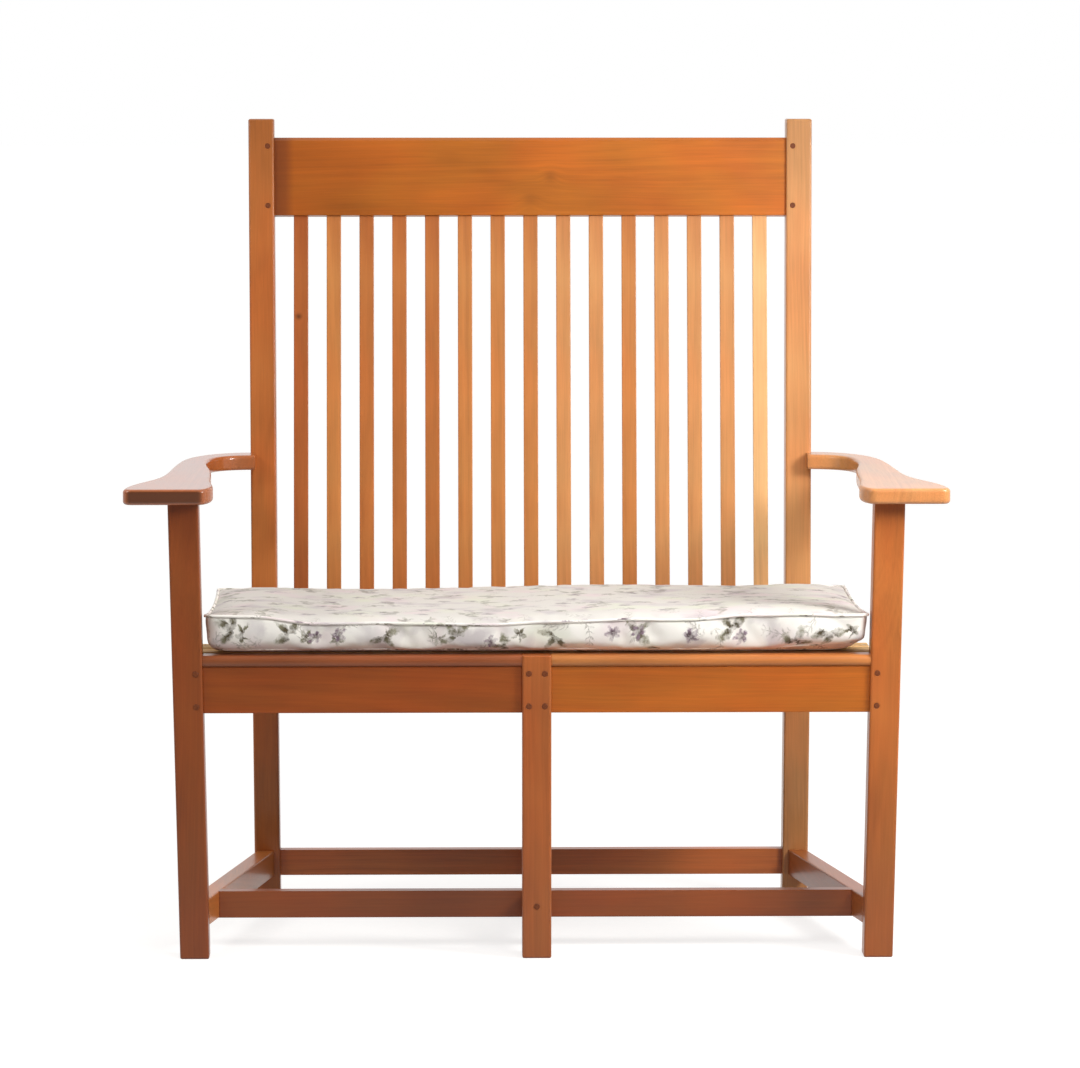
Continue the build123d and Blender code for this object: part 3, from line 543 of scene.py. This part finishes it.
COTTON_GROUND = "#F6F2EA"
COTTON_TOP_SHADE = "#D8D4CC"  # the top, greyer as painted shade that holds back its brighter light
SAGE = "#8A866F"
OLIVE = "#524836"
MAUVE = "#8F7A88"
PLUM = "#544147"
TAUPE = "#7C7163"
# Pale washes behind the drawing: colour, shift, patches per metre and strength, and where each begins
WASHES = (
    ("#E0CBCE", (0, 0, 0), 13, 0.7),
    ("#D9DCC6", (3.3, 1.7, 0), 11, 0.7),
    ("#B9AEB2", (6.1, 4.2, 0), 16, 0.65),
)
WASH_FROM, WASH_FULL = 0.54, 0.76
# Sprays of large leaves, small tufts and blossoms: cell, ellipse, spread, share of cells, inks and shift
MOTIFS = (
    (78, (13, 12, 5.2), 1.9, 0.65, SAGE, OLIVE, (0.31, 0.72, 0)),
    (47, (6.5, 6, 3.4), 2.5, 0.35, SAGE, OLIVE, (2.13, 5.4, 0)),
    (55, (5.6, 5.4, 3.4), 4, 0.45, MAUVE, PLUM, (7.7, 1.35, 0)),
)
# The ink's lines bend broadly and wander finely at their edges: bends per metre and how far
INK_WANDER = ((45.0, 12 * MM), (280.0, 4.5 * MM))
SOFT_EDGE = 0.6  # width of a motif's edge, as a share of its size
SOAK_RATE = 110
SOAK_FROM, SOAK_FULL, SOAK_LEAST = 0.32, 0.6, 0.35
UNEVEN = 0.75  # how far the scatter's cells stray from a grid
TWIG_CELL = 62 * MM
TWIG_SHIFT = (5.3, 2.9, 0)
TWIG_LENGTH = 20 * MM  # half its length
TWIG_BEND = 12.0  # sideways, for each square metre along
TWIG_INK = 0.6
STEM_HALF = 1.2 * MM
LEAF_STEP = 8.5 * MM
LEAF_HALF = 1.7 * MM
LEAF_REACH = 3.6 * MM
LEAF_SLANT = 0.9
FADED = 0.6  # strength of the ink on the top, which the light has bleached
THREAD = 1.1 * MM  # real threads are 0.3 mm apart, too fine to show
THREAD_RELIEF = 0.25 * MM
COTTON_ROUGHNESS = 0.9
COTTON_IOR = 1.45
COTTON_SHEEN = 0.12


def scatter(tree, place, cell, shift):
    """Turned coordinates about the middle of each cell of an uneven scatter, and its random numbers."""
    moved = add(tree, "VectorMath", [place, shift], operation="ADD")
    cells = {"Vector": moved, "Scale": 1 / cell, "Randomness": UNEVEN}
    found = add(tree, "TexVoronoi", cells, voronoi_dimensions="2D").outputs
    local = add(tree, "VectorMath", [moved, found["Position"]], operation="SUBTRACT")
    dice = add(tree, "SeparateColor", [found["Color"]]).outputs
    turn = add(tree, "Math", [dice[0], 2 * math.pi], operation="MULTIPLY")
    turned = add(tree, "VectorRotate", {"Vector": local, "Angle": turn}, rotation_type="Z_AXIS")
    return turned, dice


def petal_mask(tree, turned, dice, reach, half_length, half_width, spread, share):
    """Five ellipses round the cell's middle, all round or on one side, and a mask of its middle.

    The angle is folded into five sectors, and an ellipse lies along each, its middle at reach. Only places
    whose own angle is under spread are drawn, and only in a share of the cells.
    """
    along, side, _ = add(tree, "SeparateXYZ", [turned]).outputs
    angle = add(tree, "Math", [side, along], operation="ARCTAN2")
    distance = add(tree, "VectorMath", [turned], operation="LENGTH").outputs["Value"]
    fifths = add(tree, "Math", [angle, 5 / (2 * math.pi), 5.5], operation="MULTIPLY_ADD")
    fifths = add(tree, "Math", [fifths], operation="FRACT")
    folded = add(tree, "Math", [fifths, 2 * math.pi / 5, -math.pi / 5], operation="MULTIPLY_ADD")
    cosine = add(tree, "Math", [folded], operation="COSINE")
    sine = add(tree, "Math", [folded], operation="SINE")
    x = add(tree, "Math", [distance, cosine], operation="MULTIPLY")
    y = add(tree, "Math", [distance, sine], operation="MULTIPLY")
    x = add(tree, "Math", [x, 1 / half_length, -reach / half_length], operation="MULTIPLY_ADD")
    y = add(tree, "Math", [y, half_width], operation="DIVIDE")
    size = add(tree, "VectorMath", [add(tree, "CombineXYZ", [x, y, 0.0])], operation="LENGTH")
    edges = [size.outputs["Value"], 1 - SOFT_EDGE / 2, 1 + SOFT_EDGE / 2, 1.0, 0.0]
    petals = add(tree, "MapRange", edges)
    aside = add(tree, "Math", [angle], operation="ABSOLUTE")
    drawn = add(tree, "Math", [aside, spread], operation="LESS_THAN")
    drawn = add(tree, "Math", [petals, drawn], operation="MULTIPLY")
    picked = add(tree, "Math", [dice[1], share], operation="LESS_THAN")
    heart = add(tree, "MapRange", [distance, 0.3 * reach, 1.5 * reach, 1.0, 0.0])
    return add(tree, "Math", [drawn, picked], operation="MULTIPLY"), heart


def twig_mask(tree, turned):
    """A thin bent stem with pairs of small slanted leaves, repeated along it every LEAF_STEP."""
    along, side, _ = add(tree, "SeparateXYZ", [turned]).outputs
    curve = add(tree, "Math", [along, along], operation="MULTIPLY")
    side = add(tree, "Math", [curve, TWIG_BEND, side], operation="MULTIPLY_ADD")
    beside = add(tree, "Math", [side], operation="ABSOLUTE")
    inside = add(tree, "Math", [along], operation="ABSOLUTE")
    inside = add(tree, "MapRange", [inside, 0.85 * TWIG_LENGTH, 1.1 * TWIG_LENGTH, 1.0, 0.0])
    stem = add(tree, "MapRange", [beside, STEM_HALF / 6, STEM_HALF, 1.0, 0.0])
    lean = add(tree, "Math", [beside, -LEAF_SLANT, along], operation="MULTIPLY_ADD")
    lean = add(tree, "Math", [lean, LEAF_STEP], operation="DIVIDE")
    folded = add(tree, "Math", [lean], operation="FRACT")
    folded = add(tree, "Math", [folded, 0.5], operation="SUBTRACT")
    leaf_x = add(tree, "Math", [folded, LEAF_STEP / LEAF_HALF], operation="MULTIPLY")
    leaf_y = add(tree, "Math", [beside, 1 / LEAF_REACH, -1.0], operation="MULTIPLY_ADD")
    size = add(tree, "VectorMath", [add(tree, "CombineXYZ", [leaf_x, leaf_y, 0.0])], operation="LENGTH")
    leaf = add(tree, "MapRange", [size.outputs["Value"], 0.5, 1.3, 0.8, 0.0])
    drawn = add(tree, "Math", [stem, leaf], operation="MAXIMUM")
    return add(tree, "Math", [drawn, inside], operation="MULTIPLY")


def printed_cotton():
    """Off-white cotton with a scattered watercolour print of leaf sprays, tufts, blossoms and twigs.

    Matt and faintly woven; the ink is soft at its edges, soaked in unevenly and darker in the middles, over
    pale washes. The top, whose cloth places are under 0.5, is painted greyer as shade, and its ink is paler.
    """
    material, tree = new_material("printed_cotton")
    uv = add(tree, "UVMap", uv_map="cloth")
    place = uv
    for scale, reach in INK_WANDER:
        noise = {"Vector": uv, "Scale": scale, "Detail": 2}
        noise = add(tree, "TexNoise", noise, noise_dimensions="2D").outputs["Color"]
        wander = add(tree, "VectorMath", [noise, (0.5, 0.5, 0.5)], operation="SUBTRACT")
        wander = add(tree, "VectorMath", {0: wander, "Scale": reach}, operation="SCALE")
        place = add(tree, "VectorMath", [place, wander], operation="ADD")

    off_top = add(tree, "MapRange", [add(tree, "SeparateXYZ", [uv]).outputs[1], 0.5, 1.0])
    # Painted shade: the top's ground is greyer than the rest of the cover
    grounds = {0: off_top, 6: linear(COTTON_TOP_SHADE), 7: linear(COTTON_GROUND)}
    colour = add(tree, "Mix", grounds, data_type="RGBA").outputs[2]
    for wash, shift, scale, strength in WASHES:
        moved = add(tree, "VectorMath", [place, shift], operation="ADD")
        patch = {"Vector": moved, "Scale": scale, "Detail": 2}
        patch = add(tree, "TexNoise", patch, noise_dimensions="2D")
        patch = add(tree, "MapRange", [patch, WASH_FROM, WASH_FULL, 0.0, strength])
        colour = add(tree, "Mix", {0: patch, 6: colour, 7: linear(wash)}, data_type="RGBA").outputs[2]

    soak = {"Vector": uv, "Scale": SOAK_RATE, "Detail": 3}
    soak = add(tree, "TexNoise", soak, noise_dimensions="2D")
    soak = add(tree, "MapRange", [soak, SOAK_FROM, SOAK_FULL, SOAK_LEAST, 1.0])
    fade = add(tree, "Math", [off_top, 1 - FADED, FADED], operation="MULTIPLY_ADD")
    soak = add(tree, "Math", [soak, fade], operation="MULTIPLY")
    turned, _ = scatter(tree, place, TWIG_CELL, TWIG_SHIFT)
    twig = add(tree, "Math", [twig_mask(tree, turned), soak], operation="MULTIPLY")
    twig = add(tree, "Math", [twig, TWIG_INK], operation="MULTIPLY")
    colour = add(tree, "Mix", {0: twig, 6: colour, 7: linear(TAUPE)}, data_type="RGBA").outputs[2]
    for cell, ellipse, spread, share, pale, dark, shift in MOTIFS:
        turned, dice = scatter(tree, place, cell * MM, shift)
        reach, length, width = (size * MM for size in ellipse)
        mask, heart = petal_mask(tree, turned, dice, reach, length, width, spread, share)
        deep = add(tree, "Math", [dice[2], 0.6], operation="ADD")
        deep = add(tree, "Math", [heart, deep], operation="MULTIPLY")
        ink = {0: deep, 6: linear(pale), 7: linear(dark)}
        ink = add(tree, "Mix", ink, data_type="RGBA").outputs[2]
        strength = add(tree, "Math", [mask, soak], operation="MULTIPLY")
        colour = add(tree, "Mix", {0: strength, 6: colour, 7: ink}, data_type="RGBA").outputs[2]

    # Plain weave: two crossed ribbings a thread apart
    threads = add(tree, "VectorMath", {0: uv, "Scale": 2 * math.pi / THREAD}, operation="SCALE")
    waves = add(tree, "SeparateXYZ", [add(tree, "VectorMath", [threads], operation="SINE")]).outputs
    weave = add(tree, "Math", [waves[0], waves[1]], operation="MULTIPLY")
    finish = {
        "Base Color": colour,
        "Roughness": COTTON_ROUGHNESS,
        "IOR": COTTON_IOR,
        "Normal": add(tree, "Bump", {"Height": weave, "Strength": 0.25, "Distance": THREAD_RELIEF}),
        "Sheen Weight": COTTON_SHEEN,
    }
    add(tree, "OutputMaterial", [add(tree, "BsdfPrincipled", finish)])
    return material


# Cushion form

cover_low, cover_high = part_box("cushion_cover")
WELT = 4.5 * MM
WELT_SIDES = 12
SEAM_INSET = WELT / 2
UPPER_CORNER = 11 * MM
LOWER_CORNER = 18 * MM
SIDE_SPREAD = 3.5 * MM  # how far the ends have spread towards the front legs
DRAW = 4 * MM  # how far each side is drawn in at its middle
CELL = 7.5 * MM
CROWN = 7 * MM  # before it is blown up
CROWN_POWERS = (7, 5)  # across and in depth
half_x = (cover_high.x - cover_low.x) / 2 - SEAM_INSET + SIDE_SPREAD
half_y = (cover_high.y - cover_low.y) / 2 - SEAM_INSET
middle_y = (cover_high.y + cover_low.y) / 2
base = cover_low.z
REST_GAP = 0.4 * MM  # under the flat of the bottom panel
BOTTOM_POWERS = (24, 14)  # how close to its edges it leaves the deck
SEAM_HEIGHT = 44 * MM
SEAM_LOW = base + SEAM_INSET
SEAM_HIGH = base + SEAM_HEIGHT
BOXING = SEAM_HIGH - SEAM_LOW
ROLL = 13 * MM  # radius in which the boxing rolls under to its lower seam
HOLLOW = 2.5 * MM  # how far the boxing is drawn in before it is blown up
STANDING = BOXING - ROLL
BOX_RUN = STANDING + ROLL * math.pi / 2
# Points along the panels and down the boxing, whose rows are a little closer
LONG_COUNT = int(2 * half_x / CELL) + 1
SHORT_COUNT = int(2 * half_y / CELL) + 1
BOX_COUNT = int(1.3 * BOX_RUN / CELL)
# Cloth places of the bottom panel, boxing and welts, clear of the top's
BOTTOM_CLOTH, BOXING_CLOTH, WELT_CLOTH = 2.1, 4.4, 6.2


def ease(value, start, end):
    """0 before start, 1 after end and 3t² - 2t³ between."""
    share = np.clip((value - start) / (end - start), 0, 1)
    return share * share * (3 - 2 * share)


def side_line(half_along, half_across, corner, count):
    """One side of the seam between the middles of its corners' arcs: (along, out) at even steps.

    It is straight, pulled in by DRAW at its middle as a parabola, and ends in an eighth of a turn each way.
    """
    straight = half_along - corner
    total = straight + corner * math.pi / 4
    run = np.linspace(-total, total, count)
    turn = np.clip(np.abs(run) - straight, 0, None) / corner
    along = np.sign(run) * (np.minimum(np.abs(run), straight) + corner * np.sin(turn))
    out = half_across - corner * (1 - np.cos(turn)) - DRAW * (1 - (run / total) ** 2)
    return along, out


def upper_front(x, across):
    """Millimetres by which the upper seam's front line rises: eased up at both ends and to the right,
    less a bell-shaped dip left of the middle, with a fine sine ripple."""
    ends = 10.5 * ease(-across, 0.68, 0.86) + 6.2 * ease(across, 0.48, 0.64)
    climb = 0.5 + 4.8 * ease(across, -0.1, 0.35)
    dip = 2.2 * np.exp(-(((across + 0.2) / 0.13) ** 2))
    return ends + climb - dip + 0.5 * np.sin(x * 53 + 1)


def upper_back(x, across):
    """Millimetres by which the upper seam's back line rises: a slow sine, eased up at the right."""
    return 2 + 3 * np.sin(x * 9 + 0.6) + 7 * ease(across, 0.6, 0.9)


def lower_front(across):
    """Millimetres by which the lower seam's front line rises: it curls up at the right as a power of 1.7."""
    return 3.5 + 13 * np.clip((across - 0.55) / 0.45, 0, 1) ** 1.7


def seam_lift(x, y, upper):
    """How far the seam stands above its level place, mixed between its front and back lines by depth."""
    front_share = np.clip((middle_y - y) / half_y, 0, 1) ** 2
    across = x / half_x
    if upper:
        lift = front_share * upper_front(x, across) + (1 - front_share) * upper_back(x, across)
    else:
        lift = 1 + front_share * lower_front(across)
    return lift * MM


def seam_sway(x, y):
    """The front seam wanders in and out by two sines, less and less towards the back."""
    front_share = np.clip((middle_y - y) / half_y, 0, 1) ** 4
    return front_share * (1.4 * np.sin(x * 23 + 0.5) + 0.9 * np.sin(x * 41 + 2)) * MM


def seam_ring(upper):
    """The closed seam as four sides, counter-clockwise from the front left corner, each (count, 3)."""
    pulled, corner = (0, UPPER_CORNER) if upper else (ROLL, LOWER_CORNER)
    along, out = side_line(half_x - pulled, half_y - pulled, corner, LONG_COUNT)
    end_along, end_out = side_line(half_y - pulled, half_x - pulled, corner, SHORT_COUNT)
    plan = [
        np.column_stack((along, -out)),
        np.column_stack((end_out, end_along)),
        np.column_stack((-along, out)),
        np.column_stack((-end_out, -end_along)),
    ]
    level = SEAM_HIGH if upper else SEAM_LOW
    sides = []
    for flat in plan:
        x, y = flat[:, 0], flat[:, 1] + middle_y
        sides.append(np.column_stack((x, y + seam_sway(x, y), level + seam_lift(x, y, upper))))
    return sides


def panel(sides):
    """A Coons patch between four sides: the sum of both ruled surfaces less the bilinear one."""
    front, right, back, left = sides[0], sides[1], sides[2][::-1], sides[3][::-1]
    u = np.linspace(0, 1, LONG_COUNT)[:, None, None]
    v = np.linspace(0, 1, SHORT_COUNT)[None, :, None]
    across = (1 - v) * front[:, None] + v * back[:, None]
    deep = (1 - u) * left[None] + u * right[None]
    front_line = (1 - u) * front[0] + u * front[-1]
    back_line = (1 - u) * back[0] + u * back[-1]
    return across + deep - ((1 - v) * front_line + v * back_line)


def boxing_rows(top_ring, low_ring):
    """Rows of the boxing between the seams: it stands, a little hollow, then rolls under in a quarter of a
    circle. Each row is mixed from the rings above and below it, once in plan and once in height."""
    rows = []
    for run in np.linspace(0, BOX_RUN, BOX_COUNT + 1)[1:-1]:
        turn = max(run - STANDING, 0) / ROLL
        drop = (min(run, STANDING) + ROLL * math.sin(turn)) / BOXING
        pull = 1 - math.cos(turn) + HOLLOW / ROLL * math.sin(math.pi * run / BOX_RUN)
        row = (1 - pull) * top_ring + pull * low_ring
        row[:, 2] = (1 - drop) * top_ring[:, 2] + drop * low_ring[:, 2]
        rows.append(row)
    return rows


def cushion_mesh():
    """Top panel, boxing and bottom panel, sewn at both seams.

    The top's crown is (1 - |2u - 1|^7)(1 - |2v - 1|^5), flat in the middle and steep to each edge. The
    bottom is flat but for its edges. Gives points, faces, cloth places, pins, the top's ring and how many
    points lie before the bottom's.
    """
    top, low = panel(seam_ring(True)), panel(seam_ring(False))
    u, v = np.meshgrid(np.linspace(0, 1, LONG_COUNT), np.linspace(0, 1, SHORT_COUNT), indexing="ij")
    u, v = np.abs(2 * u - 1), np.abs(2 * v - 1)
    top[..., 2] += CROWN * (1 - u ** CROWN_POWERS[0]) * (1 - v ** CROWN_POWERS[1])
    edge = np.maximum(u ** BOTTOM_POWERS[0], v ** BOTTOM_POWERS[1])
    low[..., 2] = np.minimum(low[..., 2], base + REST_GAP + (low[..., 2] - base) * edge)
    grid = np.arange(LONG_COUNT * SHORT_COUNT).reshape(LONG_COUNT, SHORT_COUNT)
    ring = np.concatenate((grid[:-1, 0], grid[-1, :-1], grid[:0:-1, -1], grid[0, :0:-1]))
    around = len(ring)
    panel_size = grid.size
    top_points, low_points = top.reshape(-1, 3), low.reshape(-1, 3)
    between = boxing_rows(top_points[ring], low_points[ring])
    points = np.concatenate((top_points, low_points, *between))
    box_rings = [2 * panel_size + around * k + np.arange(around) for k in range(len(between))]
    rings = [ring, *box_rings, ring + panel_size]

    a, b, c, d = grid[:-1, :-1], grid[1:, :-1], grid[1:, 1:], grid[:-1, 1:]
    top_faces = np.stack((a, b, c, d), -1).reshape(-1, 4)
    low_faces = np.stack((a, d, c, b), -1).reshape(-1, 4) + panel_size
    box_faces = [
        np.column_stack((up, down, np.roll(down, -1), np.roll(up, -1)))
        for up, down in zip(rings, rings[1:])
    ]
    faces = np.concatenate((top_faces, low_faces, *box_faces))

    # Cloth places: plan for the panels, run and height for the boxing
    flat = points[:, :2]
    step = np.linalg.norm(np.diff(points[np.append(ring, ring[0])], axis=0), axis=1)
    run = np.concatenate(([0], np.cumsum(step)))
    places = [flat[top_faces], flat[low_faces - panel_size] * (1, -1) + (0, BOTTOM_CLOTH)]
    for k in range(BOX_COUNT):
        upper, lower = (BOXING_CLOTH - BOX_RUN * row / BOX_COUNT for row in (k, k + 1))
        levels = np.broadcast_to((upper, lower, lower, upper), (around, 4))
        runs = np.column_stack((run[:-1], run[:-1], run[1:], run[1:]))
        places.append(np.stack((runs, levels), -1))
    uv = np.concatenate(places).reshape(-1, 2)
    pinned = np.concatenate((ring, np.arange(panel_size, 2 * panel_size)))
    return points, faces, uv, pinned, ring, panel_size


def make_piece(name, points, faces, uv, material):
    """A smooth mesh object of quads with its cloth places as UV map."""
    mesh = bpy.data.meshes.new(name)
    mesh.from_pydata(points.tolist(), [], faces.tolist())
    mesh.uv_layers.new(name="cloth").data.foreach_set("uv", uv.astype(np.float32).ravel())
    mesh.polygons.foreach_set("use_smooth", np.ones(len(faces), bool))
    mesh.update()
    piece = bpy.data.objects.new(name, mesh)
    scene.collection.objects.link(piece)
    dress(piece, material)
    return piece


CLOTH_FRAMES = 20
CLOTH_MASS = 0.25
CLOTH_STIFFNESS = 18
CLOTH_BENDING = 0.35
CLOTH_PRESSURE = 3
CLOTH_SPARE = -0.012  # below 0, so that the cover is cut that share larger
CLOTH_REACH = 5.5 * MM


def settle(piece, points, pinned):
    """Blows the cover up as cloth, held at its seams and where it lies, and gives the settled points."""
    group = piece.vertex_groups.new(name="held")
    group.add(pinned.tolist(), 1, "REPLACE")
    cloth = piece.modifiers.new("cloth", "CLOTH")
    settings = cloth.settings
    settings.quality = 6
    settings.mass = CLOTH_MASS
    settings.tension_stiffness = CLOTH_STIFFNESS
    settings.compression_stiffness = CLOTH_STIFFNESS
    settings.bending_stiffness = CLOTH_BENDING
    settings.use_pressure = True
    settings.uniform_pressure_force = CLOTH_PRESSURE
    settings.shrink_min = CLOTH_SPARE
    settings.vertex_group_mass = "held"
    settings.effector_weights.gravity = 0
    cloth.collision_settings.use_collision = False
    for number in range(1, CLOTH_FRAMES + 1):
        scene.frame_set(number)
    shaped = piece.evaluated_get(bpy.context.evaluated_depsgraph_get())
    moved = np.empty(len(points) * 3, np.float32)
    shaped.data.vertices.foreach_get("co", moved)
    piece.modifiers.remove(cloth)
    scene.frame_set(1)
    step = moved.reshape(-1, 3) - points
    length = np.linalg.norm(step, axis=1, keepdims=True)
    return points + step * np.minimum(1, CLOTH_REACH / np.maximum(length, 1e-9))


def welt(name, line, material):
    """A round cord sewn in along the closed line: a circle carried square to the line's own direction."""
    ahead = np.roll(line, -1, 0) - np.roll(line, 1, 0)
    ahead /= np.linalg.norm(ahead, axis=1, keepdims=True)
    out = np.cross(ahead, (0, 0, 1))
    out /= np.linalg.norm(out, axis=1, keepdims=True)
    up = np.cross(out, ahead)
    turn = np.linspace(0, 2 * math.pi, WELT_SIDES, endpoint=False)[None, :, None]
    wave = out[:, None] * np.cos(turn) + up[:, None] * np.sin(turn)
    points = (line[:, None] + wave * WELT / 2).reshape(-1, 3)
    count = len(line)
    number = np.arange(count * WELT_SIDES).reshape(count, WELT_SIDES)
    after = np.roll(number, -1, 0)
    faces = np.stack((number, after, np.roll(after, -1, 1), np.roll(number, -1, 1)), -1).reshape(-1, 4)
    steps = np.linalg.norm(np.diff(line, axis=0, append=line[:1]), axis=1)
    run = np.concatenate(([0], np.cumsum(steps)))
    girth = WELT_CLOTH + np.linspace(0, math.pi * WELT, WELT_SIDES + 1)
    s, g = np.meshgrid(np.arange(count), np.arange(WELT_SIDES), indexing="ij")
    runs = np.stack((run[s], run[s + 1], run[s + 1], run[s]), -1)
    girths = np.stack((girth[g], girth[g], girth[g + 1], girth[g + 1]), -1)
    return make_piece(name, points, faces, np.stack((runs, girths), -1).reshape(-1, 2), material)


cotton = printed_cotton()
points, faces, uv, pinned, ring, panel_size = cushion_mesh()
cushion = make_piece("box_cushion", points, faces, uv, cotton)
settled = settle(cushion, points, pinned)
cushion.data.vertices.foreach_set("co", settled.astype(np.float32).ravel())
cushion.data.update()
smooth = cushion.modifiers.new("smooth", "SUBSURF")
smooth.levels = 1
smooth.render_levels = 1

upper_welt = welt("cushion_welt_upper", points[ring], cotton)
lower_line = points[ring + panel_size] + (0, 0, WELT / 3)  # its cord sits a little above the seam
lower_welt = welt("cushion_welt_lower", lower_line, cotton)
for piece in (upper_welt, lower_welt, cushion):
    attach(piece, "cushion")
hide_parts("cushion_cover", "cushion_core")
